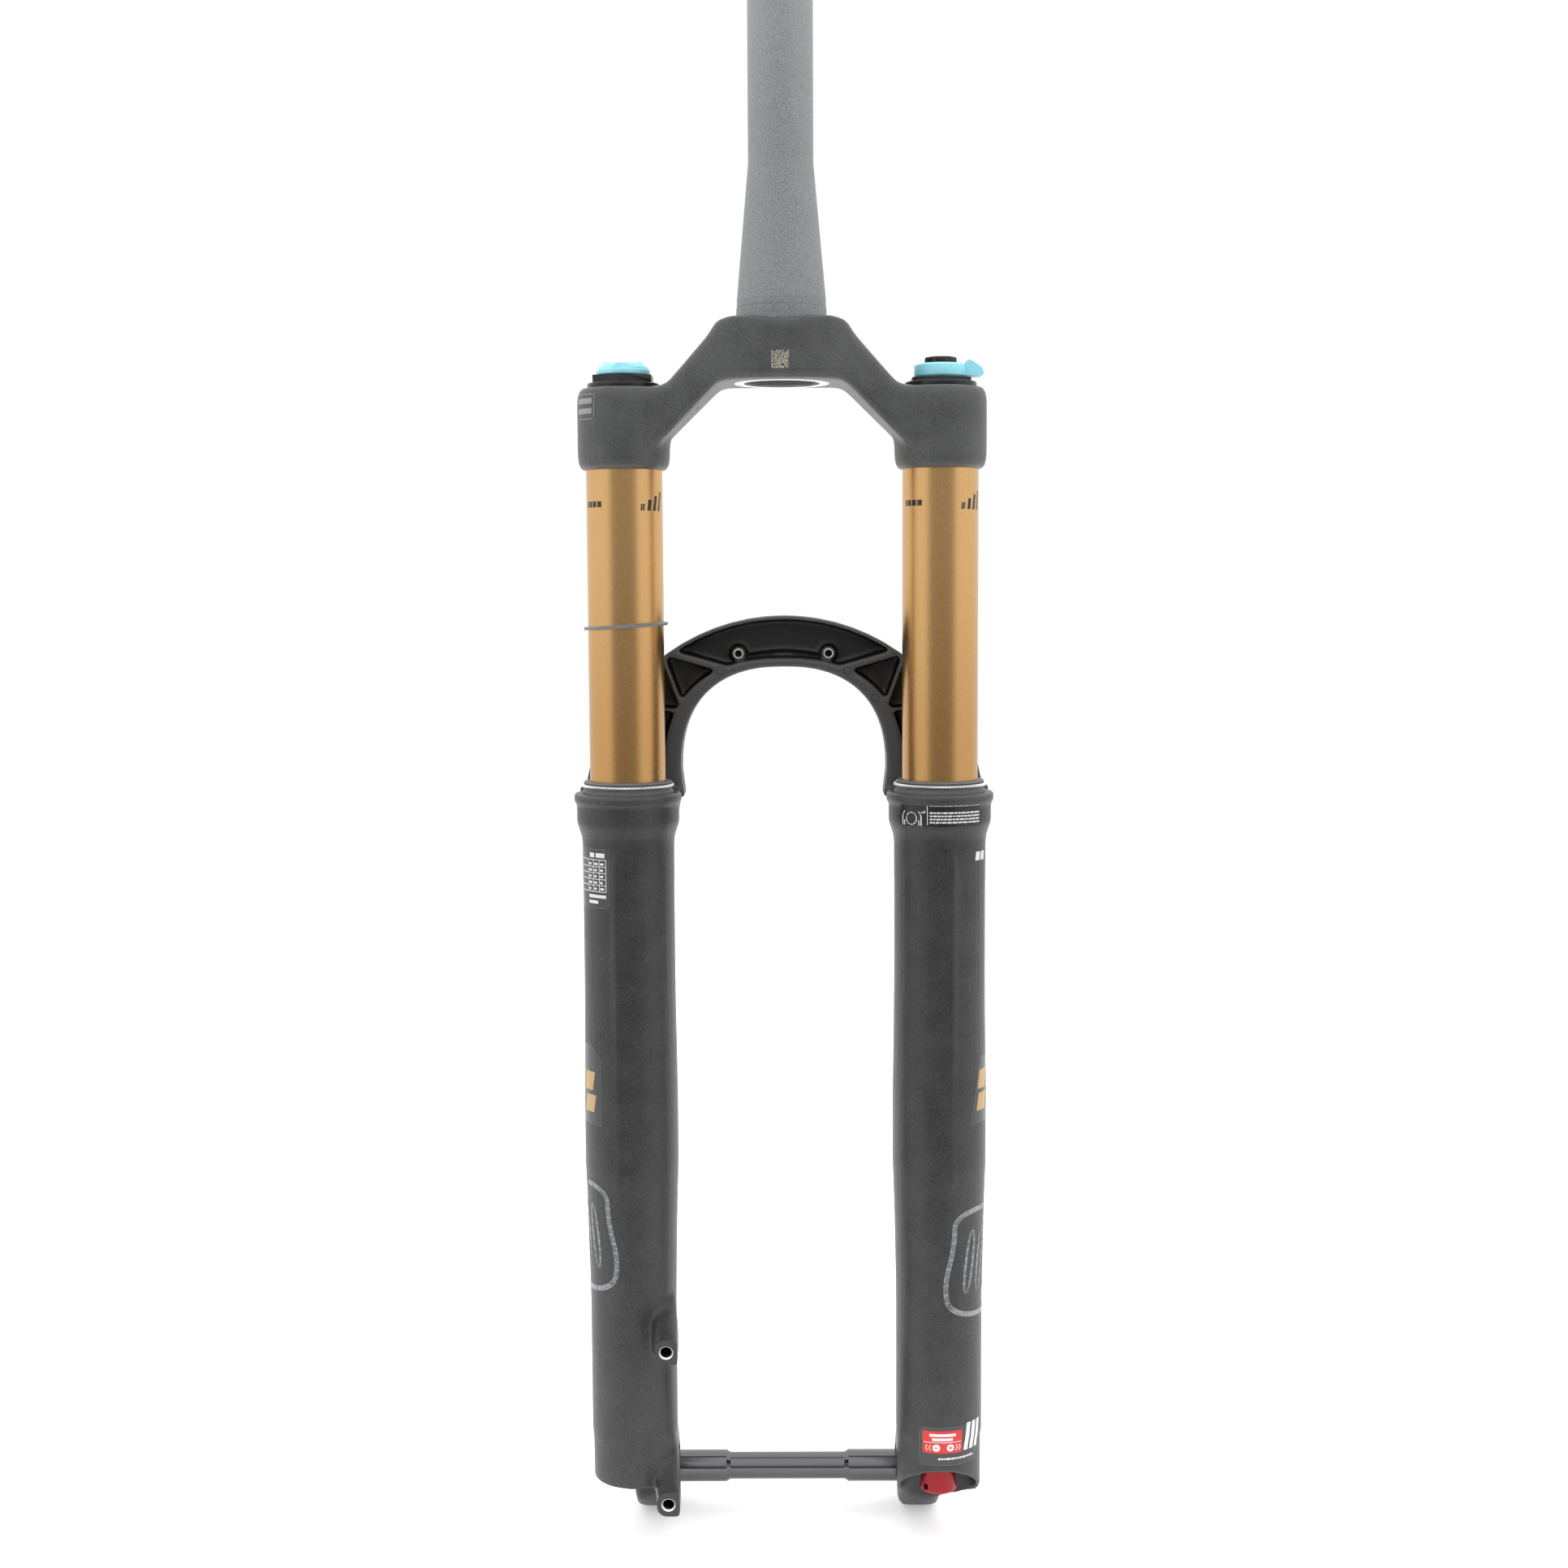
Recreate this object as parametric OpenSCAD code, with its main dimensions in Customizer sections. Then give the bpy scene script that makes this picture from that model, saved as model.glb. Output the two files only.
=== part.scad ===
// Bicycle suspension fork: single crown, air spring in the left leg, damper in the right leg, 15 mm through axle.
// Frame: +Z up the steerer, +Y the way the bicycle travels, +X the rider's right.
// Origin: the steerer axis, at the shoulder that the crown race sits on.

/* [Main sizes] */
// Outer diameter of a stanchion
stanchion_d = 34; // [33.8:0.1:34.2]
// Distance between the two stanchion axes
stanchion_spacing = 141; // [140:0.5:142]
// Forward offset of the stanchions from the steerer
crown_offset = 7; // [6.5:0.5:7.5]
// Forward offset of the axle from the steerer
axle_offset = 44; // [43:0.5:45]
// Crown race shoulder to axle, fork extended
axle_to_crown = 540; // [539:0.5:541]
// Travel of the lower legs
travel = 130; // [100:5:130]

/* [Steerer] */
// Length of the uncut steerer above the crown race shoulder
steerer_length = 220; // [180:5:260]
// Diameter of the steerer's straight upper part
steerer_top_d = 28.6; // [28.5:0.1:28.7]
// Diameter of the crown race seat
race_seat_d = 39.8; // [39.7:0.1:39.9]
// Height of the crown race seat
race_seat_h = 5.5; // [5:0.5:7]
// Bore of the steerer's straight upper part
steerer_bore_d = 24; // [23.4:0.2:24.4]

/* [Wheel and brake] */
// Diameter of the through axle
axle_d = 15; // [14.9:0.1:15]
// Distance between the faces that hold the hub
hub_width = 110; // [110:1:110]
// Distance between the brake post holes
post_spacing = 74.2; // [74:0.1:74.4]
// Distance between the mudguard inserts in the arch
insert_spacing = 41.6; // [40:0.4:43]

/* [Hidden] */
$fn = 64;
fit = 0.05;                                   // radial clearance of a sliding fit
leg_x = stanchion_spacing / 2;
leg_y = crown_offset;
stanchion_r = stanchion_d / 2;
stanchion_bore_r = stanchion_r - 2;
axle_z = -axle_to_crown;
crown_bottom_z = -27.2;                       // underside of the crown at the steerer
boss_top_z = -28.5;                           // top of the crown at a stanchion
boss_bottom_z = -64.5;
boss_r = stanchion_r + 3.7;
stanchion_top_z = boss_top_z - 1.5;
leg_top_z = -208.5;                           // rim that the wiper seal rests on
leg_floor_z = -505;                           // inside floor of a leg
foot_z = -511;                                // face that a foot nut pulls against
left_skirt_z = -528.5;
stanchion_bottom_z = leg_floor_z + travel + 7;
bushing_r = stanchion_r + 1.3;
bushing_h = 20;
upper_bushing_z = -243;                       // lower end of the upper bushing
lower_bushing_z = stanchion_bottom_z + 4;     // lower end of the lower bushing
shaft_r = 5;
arch_back_y = crown_offset + boss_r + 1.3;    // the arch passes just in front of the crown
arch_front_y = arch_back_y + 19;
dropout_face_x = hub_width / 2 - 2.6;         // rim of the pocket that the hub end sits in
dropout_outer_x = 73;
axle_nut_x0 = hub_width / 2 + 2;              // inner end of the threaded insert
axle_end_x = 68;
axle_r = axle_d / 2;
post_tilt = 5.4;                              // the brake posts lean from the vertical
post_x = -53.9;
post_upper_y = -25.5;
post_upper_z = -458;

// ---- shared shapes ----

// A turned part: outline is a list of [radius, z].
module turned(outline) {
    rotate_extrude() polygon(outline);
}

// A straight tube between two heights.
module tube(outer_r, inner_r, z0, z1) {
    difference() {
        translate([0, 0, z0]) cylinder(r = outer_r, h = z1 - z0);
        translate([0, 0, z0 - 1]) cylinder(r = inner_r, h = z1 - z0 + 2);
    }
}

// An O-ring: ring_r is the radius to the middle of its cord.
module o_ring(ring_r, cord_r, z) {
    translate([0, 0, z]) rotate_extrude() translate([ring_r, 0]) circle(r = cord_r);
}

module at_leg(side) {
    translate([side * leg_x, leg_y, 0]) children();
}

// Stands on the axle line, with local Z along +X.
module on_axle(x) {
    translate([x, axle_offset, axle_z]) rotate([0, 90, 0]) children();
}

// ---- crown, steerer and stanchions ----

taper_start_z = 9;                            // where the steerer starts to narrow
taper_end_z = 68;
steerer_foot_r = 20.9;                        // pressed into the crown
steerer_foot_bore_r = 16.8;
taper_foot_r = 19.6;

module steerer_tube() {
    top_r = steerer_top_d / 2;
    bore_r = steerer_bore_d / 2;
    seat_r = race_seat_d / 2;
    color([0.42, 0.43, 0.45]) turned([
        [steerer_foot_bore_r, crown_bottom_z], [steerer_foot_r, crown_bottom_z], [steerer_foot_r, 0],
        [seat_r, 0], [seat_r, race_seat_h - 0.5], [seat_r - 0.5, race_seat_h], [taper_foot_r, race_seat_h],
        [taper_foot_r, taper_start_z], [top_r + 0.25, taper_end_z - 3], [top_r, taper_end_z],
        [top_r, steerer_length - 0.6], [top_r - 0.6, steerer_length], [bore_r + 0.6, steerer_length],
        [bore_r, steerer_length - 0.6], [bore_r, taper_end_z + 4], [steerer_foot_bore_r, 4]
    ]);
}

// Front view of the crown between its two bosses.
function crown_outline() = [
    [-22.5, 0], [22.5, 0], [27.2, -1.2], [29.6, -2.6], [30.6, -5.6], [51, -27.8], [66, boss_top_z - 1],
    [66, -60], [52, -52], [27, crown_bottom_z], [-27, crown_bottom_z], [-52, -52],
    [-66, -60], [-66, boss_top_z - 1], [-51, -27.8], [-30.6, -5.6], [-29.6, -2.6], [-27.2, -1.2]
];

// Top view of the crown between its two bosses.
function crown_plan() = [
    [-leg_x, -9], [-50, -11.5], [-38, -15], [-29, -18.8], [-20, -23.3], [-10, -26.4], [0, -27.3],
    [10, -26.4], [20, -23.3], [29, -18.8], [38, -15], [50, -11.5], [leg_x, -9],
    [leg_x, 23], [50, 23.5], [26, 26], [-26, 26], [-50, 23.5], [-leg_x, 23]
];

module crown() {
    edge = 3;                                 // rounding of a boss's rims, as a chamfer
    color([0.27, 0.28, 0.29]) difference() {
        union() {
            intersection() {
                translate([0, 40, 0]) rotate([90, 0, 0]) linear_extrude(80) polygon(crown_outline());
                translate([0, 0, -90]) linear_extrude(100) polygon(crown_plan());
            }
            for (side = [-1, 1])
                at_leg(side) turned([
                    [0, boss_bottom_z], [boss_r - edge / 2, boss_bottom_z], [boss_r, boss_bottom_z + edge],
                    [boss_r, boss_top_z - edge], [boss_r - edge / 2, boss_top_z], [0, boss_top_z]
                ]);
        }
        translate([0, 0, -90]) cylinder(r = steerer_foot_r, h = 100);
        translate([0, -40, 57.8]) rotate([-86, 0, 0]) cylinder(r = 60, h = 24, $fn = 128);
        for (side = [-1, 1])
            at_leg(side) translate([0, 0, -90]) cylinder(r = stanchion_r, h = 80);
    }
}

module stanchion() {
    color([0.62, 0.44, 0.22]) tube(stanchion_r, stanchion_bore_r, stanchion_bottom_z, stanchion_top_z);
}

module stanchion_left() { at_leg(-1) stanchion(); }
module stanchion_right() { at_leg(1) stanchion(); }

// ---- air spring, left leg ----

cap_flange_r = 16;
cap_hex_r = 13 / cos(30);                     // 26 mm across the flats
cap_plug_z = -62;                             // lower end of the cap's plug
cap_hex_z = -22.8;                            // top of the cap's hexagon
cap_flange_z = boss_top_z + 2.3;
cap_seal_z = -52;
seal_cord_r = 1.15;

// The plug that closes a stanchion, with a groove for its seal and a hole down the middle.
module top_cap(hole_r) {
    plug_r = stanchion_bore_r - fit;
    groove_r = stanchion_bore_r - 2.4;
    difference() {
        union() {
            turned([
                [0, cap_plug_z], [plug_r - 1, cap_plug_z], [plug_r, cap_plug_z + 1],
                [plug_r, cap_seal_z - 1.6], [groove_r, cap_seal_z - 1.6],
                [groove_r, cap_seal_z + 1.6], [plug_r, cap_seal_z + 1.6],
                [plug_r, stanchion_top_z], [cap_flange_r, stanchion_top_z],
                [cap_flange_r, cap_flange_z - 0.4], [cap_flange_r - 0.4, cap_flange_z], [0, cap_flange_z]
            ]);
            translate([0, 0, cap_flange_z - 1]) rotate([0, 0, 30])
                cylinder(r = cap_hex_r, h = cap_hex_z - cap_flange_z + 1, $fn = 6);
        }
        translate([0, 0, cap_plug_z - 1]) cylinder(r = hole_r, h = 60);
    }
}

stem_r = 4;
stem_top_z = cap_hex_z + 3.4;

module air_top_cap() {
    color([0.07, 0.07, 0.08]) at_leg(-1) top_cap(stem_r);
}

module cap_seal() {
    color([0.04, 0.04, 0.04]) o_ring(stanchion_bore_r - fit - seal_cord_r, seal_cord_r, cap_seal_z);
}

module air_top_cap_seal() { at_leg(-1) cap_seal(); }
module damper_top_cap_seal() { at_leg(1) cap_seal(); }

module air_valve_stem() {
    color([0.72, 0.6, 0.35]) at_leg(-1) difference() {
        turned([
            [0, cap_plug_z - 6], [stem_r - 0.5, cap_plug_z - 6], [stem_r, cap_plug_z - 5.5],
            [stem_r, stem_top_z - 0.5], [stem_r - 0.5, stem_top_z], [0, stem_top_z]
        ]);
        translate([0, 0, cap_plug_z - 7]) cylinder(r = 1.4, h = 70);
        translate([0, 0, stem_top_z - 5]) cylinder(r = 2.6, h = 6);
    }
}

module valve_core_pin() {
    color([0.75, 0.75, 0.72]) at_leg(-1) turned([
        [0, stem_top_z - 12], [0.9, stem_top_z - 12], [0.9, stem_top_z - 3.5], [1.9, stem_top_z - 3.5],
        [1.9, stem_top_z - 2.9], [0.9, stem_top_z - 2.9], [0.9, stem_top_z - 1.2], [0, stem_top_z - 1.2]
    ]);
}

valve_cap_r = 12;
valve_cap_top_z = -16.8;
valve_cap_floor_z = cap_hex_z + 0.15;

module valve_cap_seal() {
    color([0.04, 0.04, 0.04]) at_leg(-1) o_ring(stem_r + 1.2, 0.7, cap_hex_z + 1.15);
}

// Screws onto the valve stem, with two finger flats cut into its rim.
module valve_cap() {
    color([0.1, 0.5, 0.85]) at_leg(-1) difference() {
        turned([
            [0, valve_cap_floor_z], [valve_cap_r - 0.3, valve_cap_floor_z],
            [valve_cap_r, valve_cap_floor_z + 0.3], [valve_cap_r, valve_cap_floor_z + 2],
            [valve_cap_r - 0.6, valve_cap_floor_z + 2.6], [valve_cap_r - 0.6, valve_cap_floor_z + 3],
            [valve_cap_r - 3.4, valve_cap_top_z], [0, valve_cap_top_z]
        ]);
        translate([0, 0, valve_cap_floor_z - 1]) cylinder(r = stem_r + fit, h = 5);
        translate([0, 0, valve_cap_floor_z - 1]) cylinder(r = stem_r + 2.1, h = 2.9);
        translate([-7, -20, valve_cap_top_z - 0.9]) cube([14, 40, 3]);
        for (side = [-1, 1])
            translate([0, side * (valve_cap_r + 3.4), valve_cap_floor_z + 2.2]) cylinder(r = 6, h = 8);
    }
}

module volume_spacers() {
    spacer_h = 9;
    color([0.9, 0.5, 0.1]) at_leg(-1)
        for (i = [0, 1])
            translate([0, 0, cap_plug_z - 0.2 - (i + 1) * (spacer_h + 0.2)])
                tube(13.6, stem_r + 0.2, 0, spacer_h);
}

seal_head_h = 20;

// Closes the lower end of the left stanchion around the air shaft.
module air_seal_head() {
    color([0.35, 0.35, 0.37]) at_leg(-1)
        tube(stanchion_bore_r - fit, shaft_r + fit, stanchion_bottom_z + 3, stanchion_bottom_z + 3 + seal_head_h);
}

module air_seal_head_clip() {
    color([0.6, 0.6, 0.62]) at_leg(-1) difference() {
        tube(stanchion_bore_r - fit, 11, stanchion_bottom_z + 1.2, stanchion_bottom_z + 2.8);
        translate([-4, 0, stanchion_bottom_z]) cube([8, 20, 5]);
    }
}

air_piston_z = stanchion_bottom_z + seal_head_h + 10;
air_piston_h = 18;

module air_shaft() {
    color([0.8, 0.8, 0.8]) at_leg(-1) union() {
        translate([0, 0, foot_z - 8]) cylinder(r = 4, h = 8 - foot_z + leg_floor_z + 0.5);
        translate([0, 0, leg_floor_z]) cylinder(r = shaft_r, h = air_piston_z + air_piston_h - leg_floor_z);
    }
}

module air_piston() {
    piston_r = stanchion_bore_r - 0.3;
    groove_r = piston_r - 2.2;
    middle_z = air_piston_z + air_piston_h / 2;
    color([0.15, 0.15, 0.16]) at_leg(-1) turned([
        [shaft_r, air_piston_z], [piston_r, air_piston_z],
        [piston_r, middle_z - 1.8], [groove_r, middle_z - 1.8], [groove_r, middle_z + 1.8], [piston_r, middle_z + 1.8],
        [piston_r, air_piston_z + air_piston_h], [shaft_r, air_piston_z + air_piston_h]
    ]);
}

module air_piston_seal() {
    color([0.05, 0.05, 0.05]) at_leg(-1)
        tube(stanchion_bore_r - fit, stanchion_bore_r - 2.5, air_piston_z + air_piston_h / 2 - 1.6,
             air_piston_z + air_piston_h / 2 + 1.6);
}

module bottom_out_bumper() {
    color([0.2, 0.2, 0.2]) at_leg(-1) tube(9, shaft_r, leg_floor_z, leg_floor_z + 6);
}

module foot_washer() {
    color([0.75, 0.45, 0.3]) tube(7.5, 4.1, foot_z - 1.5, foot_z);
}

module foot_nut(across_flats, height) {
    difference() {
        union() {
            translate([0, 0, foot_z - 3]) cylinder(r = 7.3, h = 1.5);
            translate([0, 0, foot_z - height]) cylinder(r = across_flats / 2 / cos(30), h = height - 2, $fn = 6);
        }
        translate([0, 0, foot_z - height - 1]) cylinder(r = 4, h = height + 2);
    }
}

module air_foot_nut() { color([0.1, 0.1, 0.1]) at_leg(-1) foot_nut(12, 10); }
module air_foot_washer() { at_leg(-1) foot_washer(); }

// ---- damper, right leg ----

rod_hole_r = 3;
lever_z0 = -24.4;
lever_z1 = -18.4;
lever_r = 11.8;
knob_top_z = -15.4;

module damper_top_cap() {
    color([0.07, 0.07, 0.08]) at_leg(1) difference() {
        top_cap(rod_hole_r + fit);
        translate([0, 0, lever_z0 - 0.2]) cylinder(r = 20, h = 10);
    }
}

// Three-position lever on top of the damper, with a thumb tab that points outwards.
module compression_lever() {
    tab_end_x = 18.9;
    color([0.1, 0.5, 0.85]) at_leg(1) difference() {
        union() {
            turned([
                [0, lever_z0], [lever_r - 0.8, lever_z0], [lever_r, lever_z0 + 0.8],
                [lever_r, lever_z1 - 0.8], [lever_r - 0.8, lever_z1], [0, lever_z1]
            ]);
            translate([0, 5.5, lever_z0]) rotate([90, 0, 0]) linear_extrude(11) polygon([
                [6, 0.6], [tab_end_x - 1, 0.6], [tab_end_x, 1.6], [tab_end_x - 0.9, 4],
                [tab_end_x - 5, 7], [tab_end_x - 7, 7.7], [tab_end_x - 9, 5.6], [6, 5.6]
            ]);
        }
        translate([0, 0, lever_z0 - 1]) cylinder(r = rod_hole_r, h = 20);
        translate([0, 0, lever_z1 - 1.2]) cylinder(r = 7.4, h = 10);
    }
}

module compression_tube() {
    color([0.6, 0.6, 0.62]) at_leg(1) tube(rod_hole_r, 1.7, -160, lever_z1 - 1.3);
}

module low_speed_knob() {
    color([0.1, 0.1, 0.11]) at_leg(1) difference() {
        turned([
            [1.6, lever_z1 - 1.1], [7.1, lever_z1 - 1.1], [7.1, knob_top_z - 0.5],
            [6.6, knob_top_z], [1.6, knob_top_z]
        ]);
        for (i = [0 : 7])
            rotate([0, 0, 22.5 + i * 45]) translate([7.9, 0, lever_z1 - 0.4]) cylinder(r = 1.5, h = 6);
    }
}

module low_speed_rod() {
    color([0.7, 0.7, 0.7]) at_leg(1) translate([0, 0, -156]) cylinder(r = 1.6, h = knob_top_z - 0.6 + 156);
}

base_valve_z = -172;
bladder_top_z = -66;
cartridge_r = 13.2;

module bladder() {
    color([0.12, 0.12, 0.12]) at_leg(1) turned([
        [4.2, -150], [12.4, -150], [13.4, -144], [13.4, -78], [12.4, -72], [4.2, bladder_top_z - 1],
        [4.2, -76], [11.4, -80], [11.4, -142], [10.6, -146], [4.2, -146]
    ]);
}

module base_valve() {
    color([0.5, 0.42, 0.2]) at_leg(1) difference() {
        turned([
            [0, base_valve_z - 8], [cartridge_r - 1.6, base_valve_z - 8], [cartridge_r - 1.6, base_valve_z],
            [cartridge_r, base_valve_z], [cartridge_r, -151], [4, -151], [4, bladder_top_z + 3], [0, bladder_top_z + 3]
        ]);
        translate([0, 0, -160]) cylinder(r = rod_hole_r + fit, h = 200);
    }
}

module cartridge_tube() {
    color([0.55, 0.55, 0.57]) at_leg(1) tube(cartridge_r, cartridge_r - 1.5, stanchion_bottom_z + 2, base_valve_z - 0.05);
}

module damper_seal_head() {
    color([0.3, 0.3, 0.32]) at_leg(1)
        tube(cartridge_r - 1.55, shaft_r + fit, stanchion_bottom_z + 2, stanchion_bottom_z + 22);
}

damper_piston_z = stanchion_bottom_z + seal_head_h + 12;
damper_piston_h = 15;
rebound_rod_r = 2.2;

module damper_shaft() {
    color([0.8, 0.8, 0.8]) at_leg(1) difference() {
        union() {
            translate([0, 0, foot_z - 7]) cylinder(r = 4, h = 7 - foot_z + leg_floor_z + 0.5);
            translate([0, 0, leg_floor_z]) cylinder(r = shaft_r, h = damper_piston_z - leg_floor_z);
        }
        translate([0, 0, foot_z - 9]) cylinder(r = rebound_rod_r + fit, h = 300);
    }
}

module damper_piston() {
    piston_r = cartridge_r - 1.8;
    groove_r = piston_r - 1;
    color([0.5, 0.42, 0.2]) at_leg(1) difference() {
        turned([
            [0, damper_piston_z], [piston_r, damper_piston_z], [piston_r, damper_piston_z + 4],
            [groove_r, damper_piston_z + 4], [groove_r, damper_piston_z + 9], [piston_r, damper_piston_z + 9],
            [piston_r, damper_piston_z + damper_piston_h], [0, damper_piston_z + damper_piston_h]
        ]);
        translate([0, 0, damper_piston_z - 1]) cylinder(r = rebound_rod_r + fit, h = 6);
    }
}

module damper_piston_band() {
    color([0.1, 0.1, 0.1]) at_leg(1)
        tube(cartridge_r - 1.55, cartridge_r - 2.75, damper_piston_z + 4.1, damper_piston_z + 8.9);
}

module damper_foot_nut() { color([0.1, 0.1, 0.1]) at_leg(1) foot_nut(12, 7.5); }
module damper_foot_washer() { at_leg(1) foot_washer(); }

knob_z0 = -535;
knob_z1 = -520.4;
knob_r = 8.6;                                 // at its foot; it narrows upwards
screw_angle = 222;                            // where the knob's grub screw is, seen from above
screw_z = -532.2;

// Stands at the grub screw, with local Z outwards from the knob's axis.
module at_knob_screw() {
    at_leg(1) translate([0, 0, screw_z]) rotate([0, 0, screw_angle]) rotate([0, 90, 0]) children();
}

module rebound_knob() {
    color([0.65, 0.05, 0.12]) difference() {
        at_leg(1) turned([
            [0, knob_z0], [knob_r - 0.8, knob_z0], [knob_r, knob_z0 + 0.8],
            [knob_r - 1.2, knob_z1 - 0.6], [knob_r - 1.8, knob_z1], [0, knob_z1]
        ]);
        at_leg(1) translate([0, 0, knob_z0 + 2]) cylinder(r = rebound_rod_r, h = 20);
        at_knob_screw() cylinder(r = 1.5, h = 12);
    }
}

module rebound_knob_screw() {
    color([0.1, 0.1, 0.1]) at_knob_screw() difference() {
        translate([0, 0, rebound_rod_r + 0.1]) cylinder(r = 1.45, h = 4);
        translate([0, 0, rebound_rod_r + 2.4]) cylinder(r = 0.85, h = 4, $fn = 6);
    }
}

module rebound_rod() {
    color([0.7, 0.7, 0.7]) at_leg(1) translate([0, 0, knob_z0 + 2])
        cylinder(r = rebound_rod_r, h = damper_piston_z + 3 - knob_z0 - 2);
}

// ---- sliding seals ----

wiper_z = leg_top_z;                          // the wiper's flange rests on the leg
wiper_lip_z = wiper_z + 5.6;
spring_r = 20.1;
spring_cord_r = 0.75;
spring_z = wiper_z + 3.8;

module wiper_seal() {
    inner_r = stanchion_r + fit;
    color([0.3, 0.3, 0.32]) turned([
        [inner_r + 1.2, wiper_z - 7], [19.5, wiper_z - 7], [19.5, wiper_z], [20.6, wiper_z],
        [20.6, wiper_z + 0.9], [19.6, wiper_z + 1.6], [19.3, wiper_z + 2.6],
        [19.3, wiper_z + 4.2], [19.9, wiper_z + 4.7], [19.4, wiper_lip_z - 0.3],
        [inner_r, wiper_lip_z], [inner_r, wiper_lip_z - 1.5], [inner_r + 1.2, wiper_z + 2]
    ]);
}

module wiper_seal_left() { at_leg(-1) wiper_seal(); }
module wiper_seal_right() { at_leg(1) wiper_seal(); }

module wiper_spring() {
    color([0.85, 0.85, 0.86]) o_ring(spring_r, spring_cord_r, spring_z - 0.4);
}

module wiper_spring_left() { at_leg(-1) wiper_spring(); }
module wiper_spring_right() { at_leg(1) wiper_spring(); }

module foam_ring() {
    color([0.2, 0.2, 0.2]) tube(19.4, stanchion_r + 0.1, wiper_z - 14, wiper_z - 7.2);
}

module foam_ring_left() { at_leg(-1) foam_ring(); }
module foam_ring_right() { at_leg(1) foam_ring(); }

module bushing(z) {
    color([0.45, 0.4, 0.33]) tube(bushing_r, stanchion_r + fit, z, z + bushing_h);
}

module upper_bushing_left() { at_leg(-1) bushing(upper_bushing_z); }
module upper_bushing_right() { at_leg(1) bushing(upper_bushing_z); }
module lower_bushing_left() { at_leg(-1) bushing(lower_bushing_z); }
module lower_bushing_right() { at_leg(1) bushing(lower_bushing_z); }

// Rubber ring that a rider pushes down the stanchion to read the sag. It sits a little crooked.
ring_z = -133.5;
ring_tilt = -3.5;
ring_cord_r = 0.8;

module travel_ring() {
    color([0.25, 0.25, 0.26]) at_leg(-1) translate([0, 0, ring_z]) rotate([0, ring_tilt, 0])
        o_ring(stanchion_r + ring_cord_r + 0.35, ring_cord_r, 0);
}

// ---- lower legs: one casting ----

// Outside of one leg.
module leg_shell(skirt_z) {
    turned([
        [0, skirt_z], [19.2, skirt_z], [19.4, -506], [19.8, -444], [20.5, -405], [21.4, -378], [21.4, -345],
        [20.8, -300], [20.7, -232], [21, -228.5], [22.4, -223.5], [22.9, -221.5], [22.9, leg_top_z - 5],
        [24.2, leg_top_z - 3.8],
        [24.2, leg_top_z - 0.6], [23.6, leg_top_z], [0, leg_top_z]
    ]);
}

// The bypass channel cast into the back of a leg, a low ridge a little outboard of its middle.
module leg_ridge(side) {
    ridge_r = 3.5;
    angle = side > 0 ? -78 : -102;
    rotate([0, 0, angle]) translate([18.1, 0, 0]) {
        translate([0, 0, -385]) cylinder(r = ridge_r, h = 145);
        translate([0, 0, -393]) cylinder(r1 = ridge_r - 1.2, r2 = ridge_r, h = 8);
        translate([0, 0, -240]) cylinder(r1 = ridge_r, r2 = ridge_r - 1.2, h = 8);
    }
}

// What is hollow inside one leg: the wiper's seat, the bushing seats, the stanchion's space and the foot.
module leg_bore() {
    turned([
        [0, leg_floor_z], [17.6, leg_floor_z], [17.6, lower_bushing_z], [bushing_r, lower_bushing_z],
        [bushing_r, wiper_z - 14], [19.5, wiper_z - 14], [19.5, wiper_z + 1], [0, wiper_z + 1]
    ]);
    translate([0, 0, foot_z - 40]) cylinder(r = 17.4, h = 40);
    translate([0, 0, foot_z - 1]) cylinder(r = shaft_r - 0.9, h = 20);
}

arch_mid_z = -222.5;                          // centre of the arch's outer curve
arch_r = 93;
arch_inner_z = -200.5;                        // centre of the arch's inner curve
arch_inner_w = 47.5;
arch_inner_power = 2.4;                       // above 2, the inner curve is squarer than a circle
arch_hollow_w = 55.5;                         // half width of the hollow's inner edge
arch_hollow_depth = 12;

function arch_outer_curve(steps, inset) = [
    for (i = [0 : steps]) let (a = 10 + i * 160 / steps)
        [(arch_r - inset) * cos(a), arch_mid_z + (arch_r - inset) * sin(a)]
];

// A superellipse, from its left end over the top to its right end.
function arch_inner_curve(steps, half_w, height) = [
    for (i = [0 : steps]) let (a = 180 - i * 180 / steps)
        [half_w * sign(cos(a)) * pow(abs(cos(a)), 2 / arch_inner_power),
         arch_inner_z + height * pow(abs(sin(a)), 2 / arch_inner_power)]
];

module arch_front_view() {
    foot_z0 = leg_top_z - 4.5;
    polygon(concat(
        arch_outer_curve(32, 0),
        [[-94.5, leg_top_z], [-94.5, foot_z0], [-46, foot_z0]],
        arch_inner_curve(32, arch_inner_w, arch_inner_w),
        [[46, foot_z0], [94.5, foot_z0], [94.5, leg_top_z]]
    ));
}

// The arch is hollow from behind, up to a thin rim on its outside and a wide band on its inside.
module arch_hollow_front_view() {
    rim = 1.8;
    polygon(concat(
        arch_outer_curve(32, rim),
        [[-85, -200], [-arch_hollow_w, -200]],
        arch_inner_curve(32, arch_hollow_w, arch_inner_w + 4.2),
        [[arch_hollow_w, -200], [85, -200]]
    ));
}

// A straight rib across the hollow, between two points of the front view.
module rib(from, to, width) {
    run = to - from;
    translate([from[0], arch_back_y, from[1]]) rotate([0, -atan2(run[1], run[0]), 0])
        translate([0, 0, -width / 2]) cube([norm(run), arch_hollow_depth + 1, width]);
}

module arch_ribs(side) {
    rib([side * 58, -145], [side * 23, -155], 3.4);
    rib([side * 49.5, -139], [side * 58, -151], 5);
    rib([side * 56, -147.3], [side * 46, -174.5], 1.9);
    rib([side * 78, -170], [side * 48, -173.2], 1.4);
    rib([side * 57, -172], [side * 70, -205], 2);
}

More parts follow.
